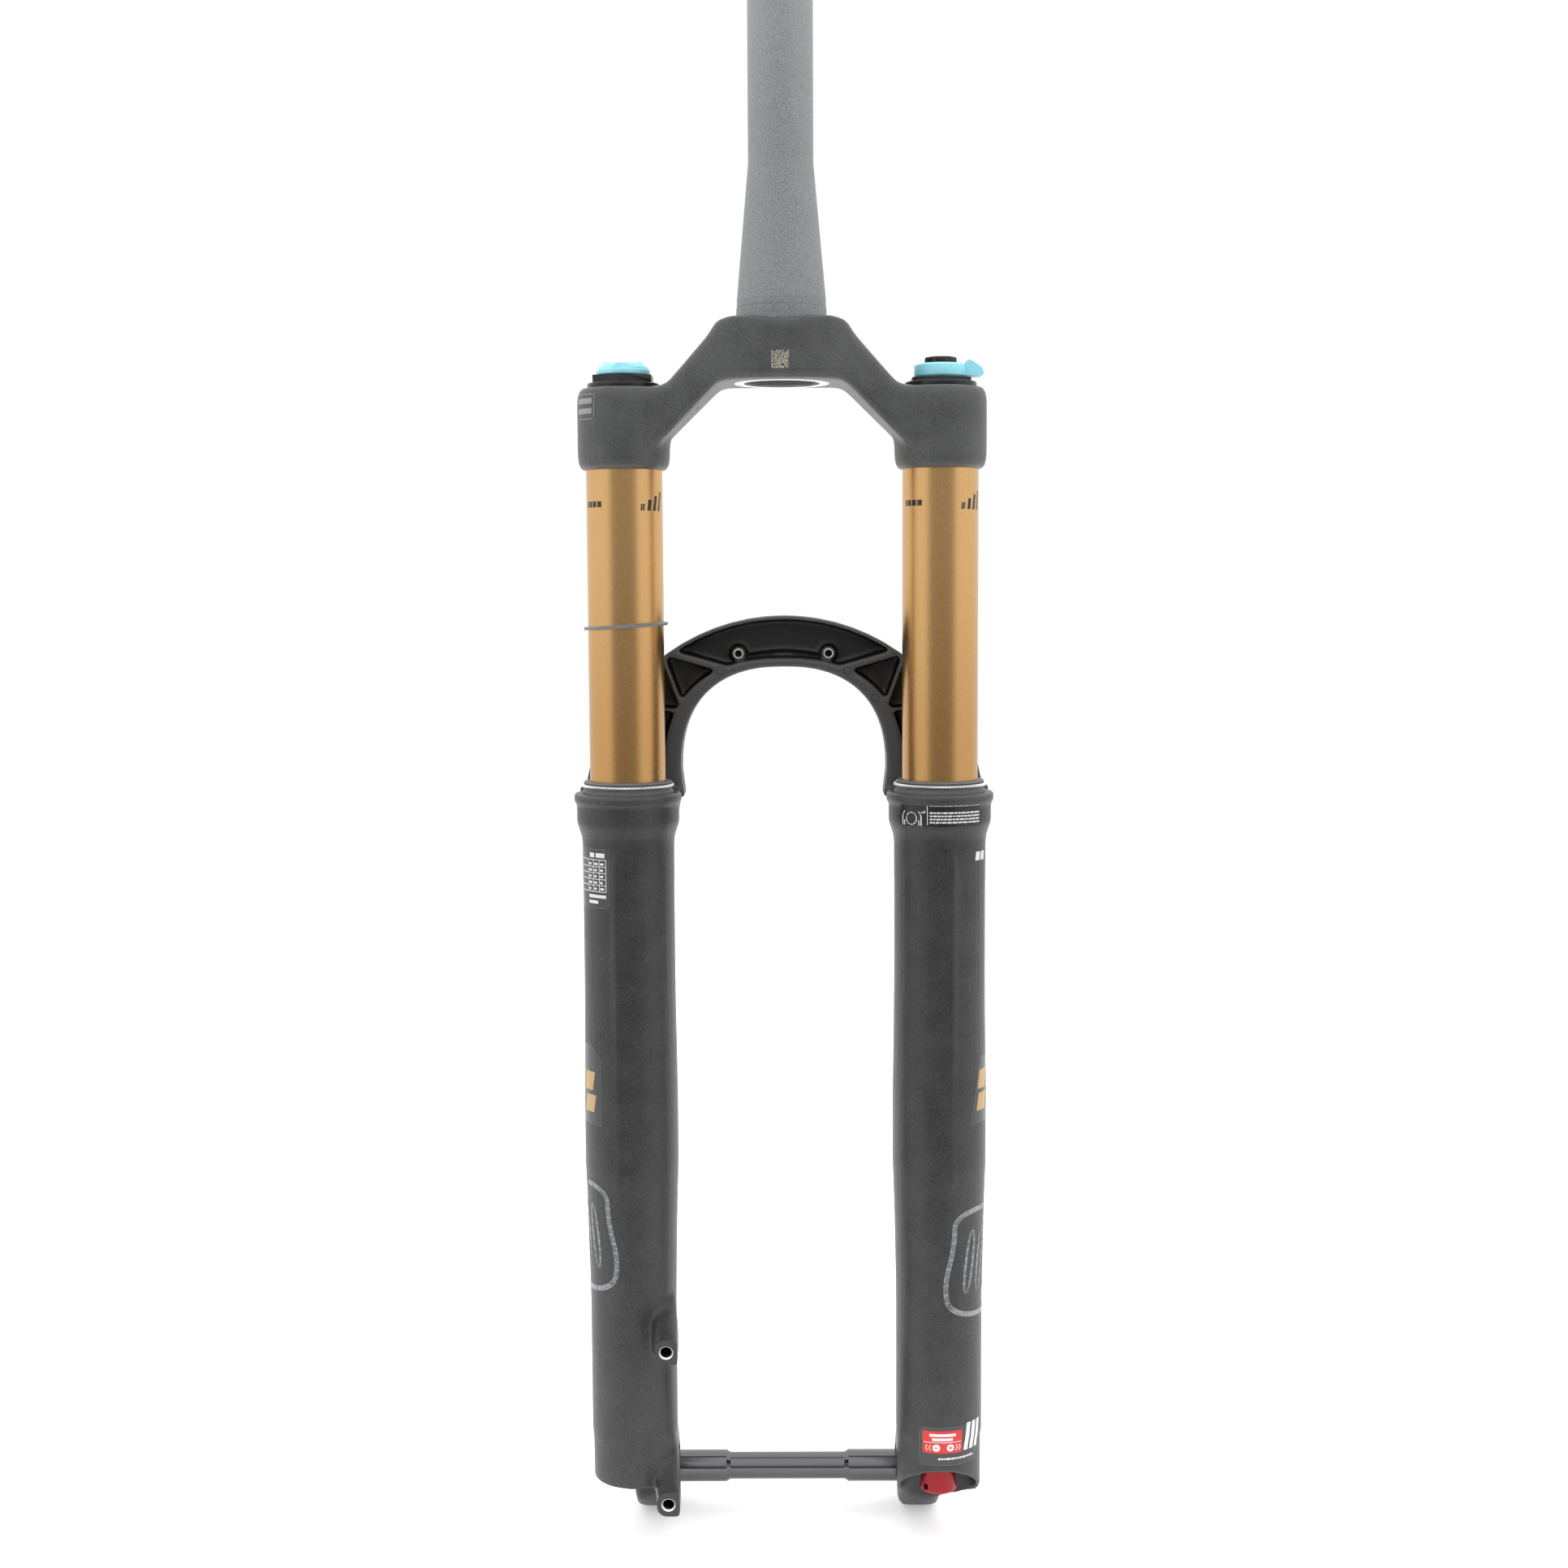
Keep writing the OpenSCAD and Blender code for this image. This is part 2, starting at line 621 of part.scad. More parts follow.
// Extrudes a front view between two Y positions.
module between_y(y0, y1) {
    translate([0, y1, 0]) rotate([90, 0, 0]) linear_extrude(y1 - y0) children();
}

module arch() {
    difference() {
        between_y(arch_back_y, arch_front_y) arch_front_view();
        difference() {
            between_y(arch_back_y - 1, arch_back_y + arch_hollow_depth) arch_hollow_front_view();
            for (side = [-1, 1]) arch_ribs(side);
        }
    }
    for (side = [-1, 1])
        translate([side * insert_spacing / 2, arch_back_y + 4, -147]) rotate([-90, 0, 0]) cylinder(r = 3.7, h = 10);
}

// Carries the foot of the arch down into the front of a leg.
module arch_gusset(side) {
    hull() {
        translate([side * leg_x - 22, arch_back_y - 1, leg_top_z - 9]) cube([44, 19, 8]);
        translate([side * leg_x - 12, leg_y + 14, -262]) cube([24, 5, 6]);
        translate([side * leg_x - 20, leg_y + 6, leg_top_z - 12]) cube([40, 5, 10]);
    }
}

// Joins a leg to the boss around the axle.
module dropout(side) {
    boss_half = (dropout_outer_x - dropout_face_x) / 2;
    x = side * (dropout_face_x + boss_half);
    hull() {
        on_axle(x) cylinder(r = 18.6, h = 2 * boss_half, center = true, $fn = 32);
        translate([x, leg_y + 8, -500]) rotate([0, 90, 0]) cylinder(r = 9, h = 2 * boss_half, center = true, $fn = 32);
        translate([x, leg_y + 6, -528]) rotate([0, 90, 0]) cylinder(r = 8, h = 2 * boss_half, center = true, $fn = 32);
    }
}

// Stands on the face of a brake post, with local Z out of the hole. along is the distance down from the upper post.
module at_post(along) {
    translate([post_x, post_upper_y, post_upper_z]) rotate([post_tilt, 0, 0]) translate([0, 0, -along])
        rotate([90, 0, 0]) children();
}

// The end of a post: round on the outer side, flush with the inside of the leg on the other.
module post_end(depth) {
    corner_r = 4.4;
    for (y = [5.8 - corner_r, corner_r - 5.5])
        translate([corner_r - 5, y, -depth]) cylinder(r = corner_r, h = depth, $fn = 32);
    translate([3.9, -5.5, -depth]) cube([1, 11.3, depth]);
}

module brake_posts() {
    hull() {
        at_post(0) post_end(14);
        translate([-62, 0, -464]) cube([11, 6, 24]);
    }
    hull() {
        at_post(post_spacing) post_end(14);
        translate([-62, 6, -534]) cube([11, 8, 24]);
    }
}

module lower_legs() {
    skirt_cut = 38;                           // slope of the right leg's open end
    pocket_r = 10.8;                          // for a hub end cap of 21 mm
    color([0.24, 0.24, 0.25]) difference() {
        union() {
            at_leg(-1) leg_shell(left_skirt_z);
            difference() {
                at_leg(1) leg_shell(-550);
                translate([leg_x, -12, -519.3]) rotate([-skirt_cut, 0, 0]) translate([-30, -60, -60]) cube([60, 120, 60]);
            }
            arch();
            for (side = [-1, 1]) {
                at_leg(side) leg_ridge(side);
                arch_gusset(side);
                dropout(side);
            }
            brake_posts();
        }
        for (side = [-1, 1]) {
            at_leg(side) leg_bore();
            on_axle(side * (hub_width / 2 - 5)) cylinder(r = pocket_r, h = 10, center = true);
            translate([side * (hub_width / 2 - 5) - 5, axle_offset - pocket_r, axle_z - 30])
                cube([10, 2 * pocket_r, 30]);
            translate([side * insert_spacing / 2, arch_back_y, -147]) rotate([-90, 0, 0]) cylinder(r = 2.4, h = 18);
        }
        on_axle(-100) cylinder(r = axle_r + fit, h = 200);
        on_axle(-dropout_outer_x - 1) cylinder(r = 10.2, h = 5);
        on_axle(axle_nut_x0) cylinder(r = 9.5, h = 100);
        at_post(0) translate([0, 0, -16]) cylinder(r = 2.5, h = 17);
        at_post(post_spacing) translate([0, 0, -16]) cylinder(r = 2.5, h = 17);
    }
}

module mudguard_inserts() {
    color([0.8, 0.8, 0.8]) for (side = [-1, 1])
        translate([side * insert_spacing / 2, arch_back_y + 3.6, -147]) rotate([-90, 0, 0]) tube(2.4, 1.65, 0, 14);
}

// ---- axle ----

module axle_nut() {
    color([0.15, 0.15, 0.16]) on_axle(0) difference() {
        translate([0, 0, axle_nut_x0]) cylinder(r = 9.5, h = dropout_outer_x - axle_nut_x0);
        translate([0, 0, axle_nut_x0 - 1]) cylinder(r = axle_r + fit, h = 30);
    }
}

// Full diameter where it carries the hub ends, waisted between them, with a flanged head for a 6 mm key.
module thru_axle() {
    waist_r = 6.35;
    waist = 30;                               // half the length of the thin part
    head_x = -dropout_outer_x + 4;
    color([0.06, 0.06, 0.07]) on_axle(0) difference() {
        turned([
            [0, head_x - 5.5], [9.2, head_x - 5.5], [9.9, head_x - 4.8], [9.9, head_x], [axle_r, head_x],
            [axle_r, -waist + 0.6], [waist_r, -waist + 2.6], [waist_r, waist - 2.6], [axle_r, waist - 0.6],
            [axle_r, axle_end_x - 1], [axle_r - 1, axle_end_x], [0, axle_end_x]
        ]);
        translate([0, 0, head_x - 6]) cylinder(r = 3 / cos(30), h = 9, $fn = 6);
        translate([0, 0, head_x + 4]) cylinder(r = 4.5, h = 200);
    }
}

steerer_tube();
crown();
stanchion_left();
stanchion_right();
air_top_cap();
air_top_cap_seal();
air_valve_stem();
valve_core_pin();
valve_cap_seal();
valve_cap();
volume_spacers();
air_seal_head();
air_seal_head_clip();
damper_top_cap();
damper_top_cap_seal();
compression_lever();
compression_tube();
low_speed_knob();
low_speed_rod();
bladder();
base_valve();
cartridge_tube();
damper_seal_head();
travel_ring();
lower_legs();
wiper_seal_left();
wiper_seal_right();
wiper_spring_left();
wiper_spring_right();
foam_ring_left();
foam_ring_right();
upper_bushing_left();
upper_bushing_right();
lower_bushing_left();
lower_bushing_right();
air_shaft();
air_piston();
air_piston_seal();
bottom_out_bumper();
air_foot_nut();
air_foot_washer();
damper_shaft();
damper_piston();
damper_piston_band();
damper_foot_nut();
damper_foot_washer();
rebound_knob();
rebound_knob_screw();
rebound_rod();
axle_nut();
thru_axle();
mudguard_inserts();
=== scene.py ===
"""Looks of a bicycle suspension fork: forged crown and steerer, gold stanchions, cast lower legs and a through axle.

The fork stands upright in its own frame: +Z up the steerer, +Y the way the bicycle travels. Lengths are metres.
"""

import math
import random

import bmesh
import bpy
import numpy as np
from mathutils import Matrix, Vector
from mathutils.bvhtree import BVHTree


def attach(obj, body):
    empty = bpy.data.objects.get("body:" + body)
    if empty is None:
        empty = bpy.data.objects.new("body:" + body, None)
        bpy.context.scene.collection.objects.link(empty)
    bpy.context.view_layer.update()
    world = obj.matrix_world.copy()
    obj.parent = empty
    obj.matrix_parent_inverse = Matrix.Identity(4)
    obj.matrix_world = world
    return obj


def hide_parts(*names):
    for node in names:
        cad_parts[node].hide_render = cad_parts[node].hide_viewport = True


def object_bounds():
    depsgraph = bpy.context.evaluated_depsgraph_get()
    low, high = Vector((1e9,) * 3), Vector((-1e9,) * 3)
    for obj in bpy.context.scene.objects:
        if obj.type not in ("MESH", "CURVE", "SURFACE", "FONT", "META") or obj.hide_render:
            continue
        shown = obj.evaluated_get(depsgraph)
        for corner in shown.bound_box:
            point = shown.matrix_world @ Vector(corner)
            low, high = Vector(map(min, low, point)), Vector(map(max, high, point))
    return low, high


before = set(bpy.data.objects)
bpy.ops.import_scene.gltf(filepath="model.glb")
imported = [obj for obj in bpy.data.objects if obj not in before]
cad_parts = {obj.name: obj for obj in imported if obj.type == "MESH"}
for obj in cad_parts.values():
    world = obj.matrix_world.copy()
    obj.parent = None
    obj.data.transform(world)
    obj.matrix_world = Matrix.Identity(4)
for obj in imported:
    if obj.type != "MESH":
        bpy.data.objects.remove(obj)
cad_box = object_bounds()


# ---- Studio ----
# A white tent round the fork: bright behind, beside and above it, dimmer on the viewer's side.
# The fork hangs upright over a pale floor and is seen from behind, from just above the middle of its height.

MM = 0.001
SIDES = {"left": -1, "right": 1}


class Wire:
    """An output socket. Arithmetic on it adds the Math node that works it out."""

    def __init__(self, socket):
        self.socket = socket

    def math(self, operation, first, second):
        tree = self.socket.id_data
        node = tree.nodes.new("ShaderNodeMath")
        node.operation = operation
        for place, value in zip(node.inputs, (first, second)):
            if isinstance(value, Wire):
                tree.links.new(value.socket, place)
            else:
                place.default_value = value
        return Wire(node.outputs[0])

    def __add__(self, other):
        return self.math("ADD", self, other)

    def __sub__(self, other):
        return self.math("SUBTRACT", self, other)

    def __rsub__(self, other):
        return self.math("SUBTRACT", other, self)

    def __mul__(self, other):
        return self.math("MULTIPLY", self, other)

    def __pow__(self, other):
        return self.math("POWER", self, other)

    def __abs__(self):
        return self.math("ABSOLUTE", self, 0)

    __radd__ = __add__
    __rmul__ = __mul__


class Nodes:
    """A shader's node tree, in which node() makes every node but the Math ones."""

    def __init__(self, tree):
        self.tree = tree

    def node(self, kind, settings=None, sockets=None, out=0):
        made = self.tree.nodes.new("ShaderNode" + kind)
        for name, value in (settings or {}).items():
            setattr(made, name, value)
        for name, value in (sockets or {}).items():
            if isinstance(value, Wire):
                self.tree.links.new(value.socket, made.inputs[name])
            else:
                made.inputs[name].default_value = value
        return Wire(made.outputs[out])

    def step(self, value, low, high):
        """0 below low and 1 above high, with a soft change between them."""
        return self.node("MapRange", {"interpolation_type": "SMOOTHSTEP"},
                         {"Value": value, "From Min": low, "From Max": high})

    def xyz(self, vector):
        return [self.node("SeparateXYZ", {}, {"Vector": vector}, out) for out in range(3)]


def add_camera():
    pitch, yaw, roll = (math.radians(angle) for angle in (5.38, 0.29, 0.281))
    ahead = Vector((-math.sin(yaw) * math.cos(pitch), math.cos(yaw) * math.cos(pitch), -math.sin(pitch)))
    level = ahead.cross(Vector((0, 0, 1))).normalized()
    down = ahead.cross(level)
    right = level * math.cos(roll) + down * math.sin(roll)
    up = level * math.sin(roll) - down * math.cos(roll)
    camera = bpy.data.objects.new("camera", bpy.data.cameras.new("camera"))
    bpy.context.collection.objects.link(camera)
    turn = Matrix((right, up, -ahead)).transposed().to_4x4()
    camera.matrix_world = Matrix.Translation((0.0049, -0.943, -0.11563)) @ turn
    camera.data.sensor_width = 36
    camera.data.lens = 48.45
    camera.data.clip_start = 0.01
    bpy.context.scene.camera = camera


def add_tent():
    front_glow, side_glow, top_glow, seen_white = 0.3, 1.0, 0.5, 1.02
    world = bpy.data.worlds.new("tent")
    bpy.context.scene.world = world
    world.use_nodes = True
    tent = Nodes(world.node_tree)
    background = world.node_tree.nodes["Background"]
    x, y, z = tent.xyz(tent.node("TexCoord", out=0))
    around = tent.step(y * -1.0, 0.66, 0.86)          # 1 in the dim part on the viewer's side
    above = tent.step(z, 0.06, 0.5)
    glow = side_glow - (side_glow - front_glow) * around * (1 - 0.8 * above) + top_glow * above
    seen = tent.node("LightPath", out=0)
    strength = seen * seen_white + (1 - seen) * glow
    world.node_tree.links.new(strength.socket, background.inputs["Strength"])
    background.inputs["Color"].default_value = (1, 1, 1, 1)


def add_floor():
    radius = 1.3
    mesh = bpy.data.meshes.new("floor")
    rim = [(radius * math.cos(i * math.tau / 64), radius * math.sin(i * math.tau / 64), 0) for i in range(64)]
    mesh.from_pydata(rim, [], [range(64)])
    floor = bpy.data.objects.new("floor", mesh)
    floor.location = (0, 0.95, cad_box[0].z - 0.0005)
    bpy.context.collection.objects.link(floor)
    paint = bpy.data.materials.new("pale floor")
    paint.use_nodes = True
    shader = paint.node_tree.nodes["Principled BSDF"]
    shader.inputs["Base Color"].default_value = (0.93, 0.93, 0.93, 1)
    shader.inputs["Roughness"].default_value = 0.75
    shader.inputs["Emission Color"].default_value = (1, 1, 1, 1)
    shader.inputs["Emission Strength"].default_value = 0.32
    mesh.materials.append(paint)


add_camera()
add_tent()
add_floor()
bpy.context.scene.view_settings.view_transform = "Standard"


# ---- Steerer tube ----
# A forged and drilled aluminium tube, thick and tapered at its foot, pressed up into the crown.
# It is bead-blasted and anodised dark grey all over but for its machined foot, which is left bare.

class Finish(Nodes):
    """One finish: a Principled shader, read in the fork's own metres."""

    def __init__(self, name, colour, roughness, metallic=0.0, **plain):
        self.material = bpy.data.materials.new(name)
        self.material.use_nodes = True
        super().__init__(self.material.node_tree)
        self.shader = self.tree.nodes["Principled BSDF"]
        self.place = self.node("TexCoord", out=3)
        self.feed(Base_Color=(*colour, 1), Roughness=roughness, Metallic=metallic, **plain)

    def feed(self, **sockets):
        """Sets or links the shader's own sockets; their names have _ for a space."""
        for name, value in sockets.items():
            socket = self.shader.inputs[name.replace("_", " ")]
            if isinstance(value, Wire):
                self.tree.links.new(value.socket, socket)
            else:
                socket.default_value = value

    def mix(self, share, first, second):
        """A colour between two colours."""
        def paint(colour):
            return (*colour, 1) if isinstance(colour, tuple) and len(colour) == 3 else colour
        return self.node("Mix", {"data_type": "RGBA"}, {0: share, 6: paint(first), 7: paint(second)}, 2)

    def noise(self, cell, detail=2.0, stretch=(1, 1, 1)):
        """Cloudy noise from 0 to 1 with features about cell metres across, drawn out where stretch is small."""
        place = self.node("Mapping", {}, {"Vector": self.place, "Scale": stretch})
        cloud = self.node("TexNoise", {}, {"Vector": place, "Scale": 1 / cell, "Detail": detail})
        return self.node("MapRange", {}, {"Value": cloud, "From Min": 0.32, "From Max": 0.68})

    def relief(self, height, depth):
        """The shading normal of a surface raised by height times depth."""
        return self.node("Bump", {}, {"Strength": 1.0, "Distance": depth, "Height": height})

    def grain(self, cell, depth, dark, light, smooth, rough, stretch=(1, 1, 1)):
        """An even grain in relief, colour and roughness."""
        cloud = self.noise(cell, 3.0, stretch)
        self.feed(Base_Color=self.mix(cloud, dark, light), Roughness=smooth + (rough - smooth) * cloud,
                  Normal=self.relief(cloud, depth))


def dress(finish, *nodes):
    """Gives CAD nodes their finish."""
    for name in nodes:
        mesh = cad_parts[name].data
        mesh.materials.clear()
        mesh.materials.append(finish.material)


def soften(width, *nodes):
    """Breaks the sharp edges of machined CAD nodes with a small round."""
    for name in nodes:
        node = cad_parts[name]
        weld = node.modifiers.new("weld", "WELD")
        weld.merge_threshold = 1e-6
        round_off = node.modifiers.new("round", "BEVEL")
        round_off.width = width
        round_off.segments = 2
        round_off.limit_method = "ANGLE"
        round_off.angle_limit = math.radians(32)
        round_off.harden_normals = True


def steerer_finish():
    finish = Finish("blasted grey", (0.2, 0.2, 0.21), 0.5, 0.55)
    x, y, z = finish.xyz(finish.place)
    mottled = finish.mix(finish.noise(0.00045, 4.0), (0.165, 0.168, 0.175), (0.36, 0.365, 0.375))
    blasted = finish.mix(0.35 * finish.step(z, 0.04, 0.2), mottled, (0.50, 0.505, 0.515))
    bare = finish.step(z, -0.0262, -0.0266)
    grain = finish.noise(0.00035, 3.0)
    finish.feed(
        Base_Color=finish.mix(bare, blasted, (0.82, 0.82, 0.83)),
        Metallic=0.4 + 0.55 * bare,
        Roughness=0.5 + 0.08 * grain - 0.2 * bare,
        Normal=finish.relief(grain * (1 - bare), 0.00005))
    return finish


dress(steerer_finish(), "steerer_tube")


# ---- Crown ----
# One aluminium forging that holds the steerer and clamps both stanchions, hollowed under its arms.
# Its edges and the roots of its arms are well rounded, and it is painted satin charcoal.

def turned(outline, steps=96):
    """A mesh turned about Z from a closed loop of (radius, height) in millimetres."""
    shape = bmesh.new()
    rings = []
    for i in range(steps):
        turn = i * math.tau / steps
        rings.append([shape.verts.new((r * MM * math.cos(turn), r * MM * math.sin(turn), z * MM))
                      for r, z in outline])
    for i, ring in enumerate(rings):
        beside = rings[(i + 1) % steps]
        for j in range(len(outline)):
            k = (j + 1) % len(outline)
            shape.faces.new((ring[j], beside[j], beside[k], ring[k]))
    return closed(shape)


def closed(shape):
    """The mesh of a bmesh, with its doubled points joined and its faces turned outwards."""
    bmesh.ops.remove_doubles(shape, verts=shape.verts, dist=1e-7)
    bmesh.ops.recalc_face_normals(shape, faces=shape.faces)
    mesh = bpy.data.meshes.new("shape")
    shape.to_mesh(mesh)
    shape.free()
    return mesh


def rod(radius, low, high):
    return turned([(0, low), (radius, low), (radius, high), (0, high)], 64)


def block(low, high):
    """A box between two corners, in millimetres."""
    shape = bmesh.new()
    bmesh.ops.create_cube(shape, size=1)
    for point in shape.verts:
        point.co = Vector([(b if c > 0 else a) * MM for a, b, c in zip(low, high, point.co)])
    return closed(shape)


LEG_X, LEG_Y = 0.0705, 0.007        # the legs' centre lines, to either side and ahead of the steerer


def along_leg(side):
    return Matrix.Translation((side * LEG_X, LEG_Y, 0))


def along_axle(x):
    """Stands on the axle line at x millimetres, with local Z along +X."""
    ahead, height = 0.044, -0.540
    return Matrix.Translation((x * MM, ahead, height)) @ Matrix.Rotation(math.pi / 2, 4, "Y")


def gathered(*parts):
    """One bmesh from pairs of mesh and place."""
    whole = bmesh.new()
    for mesh, place in parts:
        copy = mesh.copy()
        copy.transform(place)
        whole.from_mesh(copy)
    return whole


def piece_of(name, mesh, finish, body, slot, *stands_for):
    """Puts a mesh in the scene as a piece of the fork."""
    mesh.materials.clear()
    mesh.materials.append(finish.material)
    mesh.shade_smooth()
    mesh.set_sharp_from_angle(angle=math.radians(38))
    piece = bpy.data.objects.new(name, mesh)
    bpy.context.collection.objects.link(piece)
    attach(piece, body)
    if stands_for:
        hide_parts(*stands_for)
    return piece


def applied(mesh, kind, **settings):
    """The mesh after one modifier."""
    holder = bpy.data.objects.new("holder", mesh)
    bpy.context.collection.objects.link(holder)
    modifier = holder.modifiers.new("step", kind)
    for name, value in settings.items():
        setattr(modifier, name, value)
    graph = bpy.context.evaluated_depsgraph_get()
    made = bpy.data.meshes.new_from_object(holder.evaluated_get(graph))
    bpy.data.objects.remove(holder)
    return made


def cut(mesh, *tools):
    """The mesh with the tools' space taken out. A tool is a pair of mesh and place."""
    for tool, place in tools:
        shape = tool.copy()
        shape.transform(place)
        cutter = bpy.data.objects.new("cutter", shape)
        bpy.context.collection.objects.link(cutter)
        mesh = applied(mesh, "BOOLEAN", object=cutter, solver="MANIFOLD", operation="DIFFERENCE")
        bpy.data.objects.remove(cutter)
    return mesh


def blank(node, voxel, *fillers):
    """A casting's outside as an even skin: the CAD node, its bores filled, made again from small cells."""
    whole = gathered((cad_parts[node].data, Matrix.Identity(4)), *fillers)
    bmesh.ops.remove_doubles(whole, verts=whole.verts, dist=1e-6)
    mesh = bpy.data.meshes.new(node)
    whole.to_mesh(mesh)
    whole.free()
    return applied(mesh, "REMESH", mode="VOXEL", voxel_size=voxel)


def eased(mesh, *passes):
    """Rounds a casting's edges. In a pass (rounds, share), points move by their share to their neighbours' middle."""
    count = len(mesh.vertices)
    points = np.empty(count * 3)
    mesh.vertices.foreach_get("co", points)
    points = points.reshape(-1, 3)
    ends = np.empty(len(mesh.edges) * 2, np.int64)
    mesh.edges.foreach_get("vertices", ends)
    a, b = ends.reshape(-1, 2).T
    neighbours = np.bincount(ends, minlength=count)[:, None]
    for rounds, share in passes:
        weight = 0.5 * np.clip(share(*points.T / MM) * np.ones(count), 0, 1)[:, None]
        for _ in range(rounds):
            sums = [np.bincount(a, points[b, k], count) + np.bincount(b, points[a, k], count) for k in range(3)]
            points += weight * (np.stack(sums, 1) / neighbours - points)
    mesh.vertices.foreach_set("co", points.ravel())
    mesh.update()
    return mesh


def everywhere(x, y, z):
    return 1.0


def ramp(value, low, high):
    """0 at low and 1 at high, with a soft change between them."""
    t = np.clip((value - low) / (high - low), 0, 1)
    return t * t * (3 - 2 * t)


def satin_charcoal(name, dark, light):
    """Satin powder paint over a casting: a fine orange peel, faint clouding, and a soft sheen at the edges."""
    finish = Finish(name, dark, 0.4, 0.0, Specular_IOR_Level=0.55)
    speck = finish.noise(0.0007, 4.0)
    cloud = finish.noise(0.012, 3.0)
    peel = finish.noise(0.0009, 2.0)
    finish.feed(
        Base_Color=finish.mix(speck * 0.7 + cloud * 0.3, dark, light),
        Roughness=0.36 + 0.08 * peel + 0.04 * cloud,
        Normal=finish.relief(peel * 0.6 + speck * 0.4, 0.000035))
    return finish


def forged_crown():
    stanchion, steerer = 17.0, 20.9
    low, high = -64.5, -28.5
    legs = [along_leg(side) for side in (-1, 1)]
    here = Matrix.Identity(4)
    mesh = blank("crown", 0.00065, *[(rod(stanchion + 0.6, low, high), leg) for leg in legs],
                 (rod(steerer + 0.6, -27.2, -2.5), here))

    def arms(x, y, z):
        """The arms and the crown's shoulders, but hardly the clamps' faces and the seat of the steerer."""
        between = 1 - ramp(np.hypot(abs(x) - LEG_X / MM, y - LEG_Y / MM), 17.5, 21.5)
        rims = ramp(z, low, low + 5) * (1 - ramp(z, high - 3, high))
        seat = ramp(np.hypot(x, y), 22, 27)
        below_top = 0.15 + 0.85 * ramp(-z, 0, 4)
        return np.maximum(1 - between, rims * 0.6) * np.maximum(seat, ramp(-z, 4, 10)) * below_top

    mesh = eased(mesh, (8, everywhere), (90, arms), (6, everywhere))
    bores = [(rod(stanchion, -90, 10), leg) for leg in legs]
    drain = Matrix.Translation((-0.0374, 0, -0.0376)) @ Matrix.Rotation(math.radians(135), 4, "Y")
    return cut(mesh, *bores, (rod(steerer, -90, 10), here), (rod(0.9, -6, 3), drain))


crown_paint = satin_charcoal("crown satin charcoal", (0.036, 0.0365, 0.037), (0.094, 0.0955, 0.097))
crown = piece_of("forged_crown", forged_crown(), crown_paint, "upper", "crown_satin_black", "crown")


# ---- Stanchions ----
# Two drawn aluminium tubes pressed into the crown, ground round and polished, then hard-anodised gold.
# A fine lapping pattern runs round them, and the gold is painted darker low down, a painted shade.

def gold_finish():
    finish = Finish("polished gold", (0.6, 0.36, 0.14), 0.2, 1.0)
    laps = finish.noise(0.0005, 2.0, (1, 1, 5))
    fleck = finish.noise(0.0006, 3.0)
    height = finish.xyz(finish.place)[2]
    # Painted shade: both fleck colours are darker lower down the tube.
    lower = finish.step(height, -0.09, -0.21)
    light_flecks_shaded_low = finish.mix(lower, (0.70, 0.43, 0.184), (0.575, 0.327, 0.126))
    dark_flecks_shaded_low = finish.mix(lower, (0.64, 0.382, 0.158), (0.525, 0.293, 0.109))
    finish.feed(
        Base_Color=finish.mix(fleck, dark_flecks_shaded_low, light_flecks_shaded_low),
        Roughness=0.27 + 0.05 * fleck,
        Normal=finish.relief(laps * 0.5 + fleck * 0.2, 0.000005))
    return finish


dress(gold_finish(), "stanchion_left", "stanchion_right")


# ---- Air spring, left leg ----
# A black cap screws into the stanchion and carries the brass filling valve under a blue dust cap.
# Below it are two plastic spacers, the piston on its shaft with a rubber seal, and the head that closes the tube.

def anodised(name, dark, light, roughness=0.24, metallic=0.85):
    """Dyed anodising on turned aluminium, with the lathe's fine rings under it."""
    finish = Finish(name, dark, roughness, metallic)
    finish.grain(0.00025, 0.000006, dark, light, roughness, roughness + 0.1, (1, 1, 3))
    return finish


def rubber(name, dark, light, roughness=0.6):
    """Moulded rubber with a dusty bloom."""
    finish = Finish(name, dark, roughness)
    finish.grain(0.0006, 0.00002, dark, light, roughness, roughness + 0.15)
    return finish


def plain_metal(name, dark, light, roughness):
    """Machined metal with drawn-out tool marks."""
    finish = Finish(name, dark, roughness, 1.0)
    finish.grain(0.0004, 0.000008, dark, light, roughness, roughness + 0.15, (1, 1, 6))
    return finish


def plastic(name, dark, light, roughness=0.4):
    """Moulded plastic with a faint texture."""
    finish = Finish(name, dark, roughness)
    finish.grain(0.0005, 0.00001, dark, light, roughness, roughness + 0.1)
    return finish


black_anodised = anodised("black anodised", (0.012, 0.012, 0.014), (0.03, 0.03, 0.033), 0.22, 0.4)
blue_anodised = anodised("blue anodised", (0.30, 0.80, 1.0), (0.42, 0.92, 1.0), 0.24, 0.0)
seal_rubber = rubber("black rubber", (0.012, 0.012, 0.012), (0.03, 0.03, 0.03))
brass = plain_metal("brass", (0.55, 0.40, 0.17), (0.68, 0.52, 0.26), 0.25)
chrome = plain_metal("polished steel shaft", (0.62, 0.62, 0.64), (0.72, 0.72, 0.74), 0.1)
bare_aluminium = plain_metal("bare aluminium", (0.68, 0.68, 0.69), (0.80, 0.80, 0.81), 0.28)
spring_steel = plain_metal("spring steel", (0.86, 0.86, 0.87), (0.97, 0.97, 0.98), 0.3)
dress(black_anodised, "air_top_cap", "air_seal_head", "air_foot_nut")
dress(blue_anodised, "valve_cap")
dress(seal_rubber, "air_top_cap_seal", "valve_cap_seal", "air_piston_seal", "bottom_out_bumper")
dress(brass, "air_valve_stem")
dress(spring_steel, "valve_core_pin", "air_seal_head_clip")
dress(chrome, "air_shaft")
dress(plastic("orange plastic", (0.75, 0.24, 0.03), (0.85, 0.32, 0.05)), "volume_spacers")
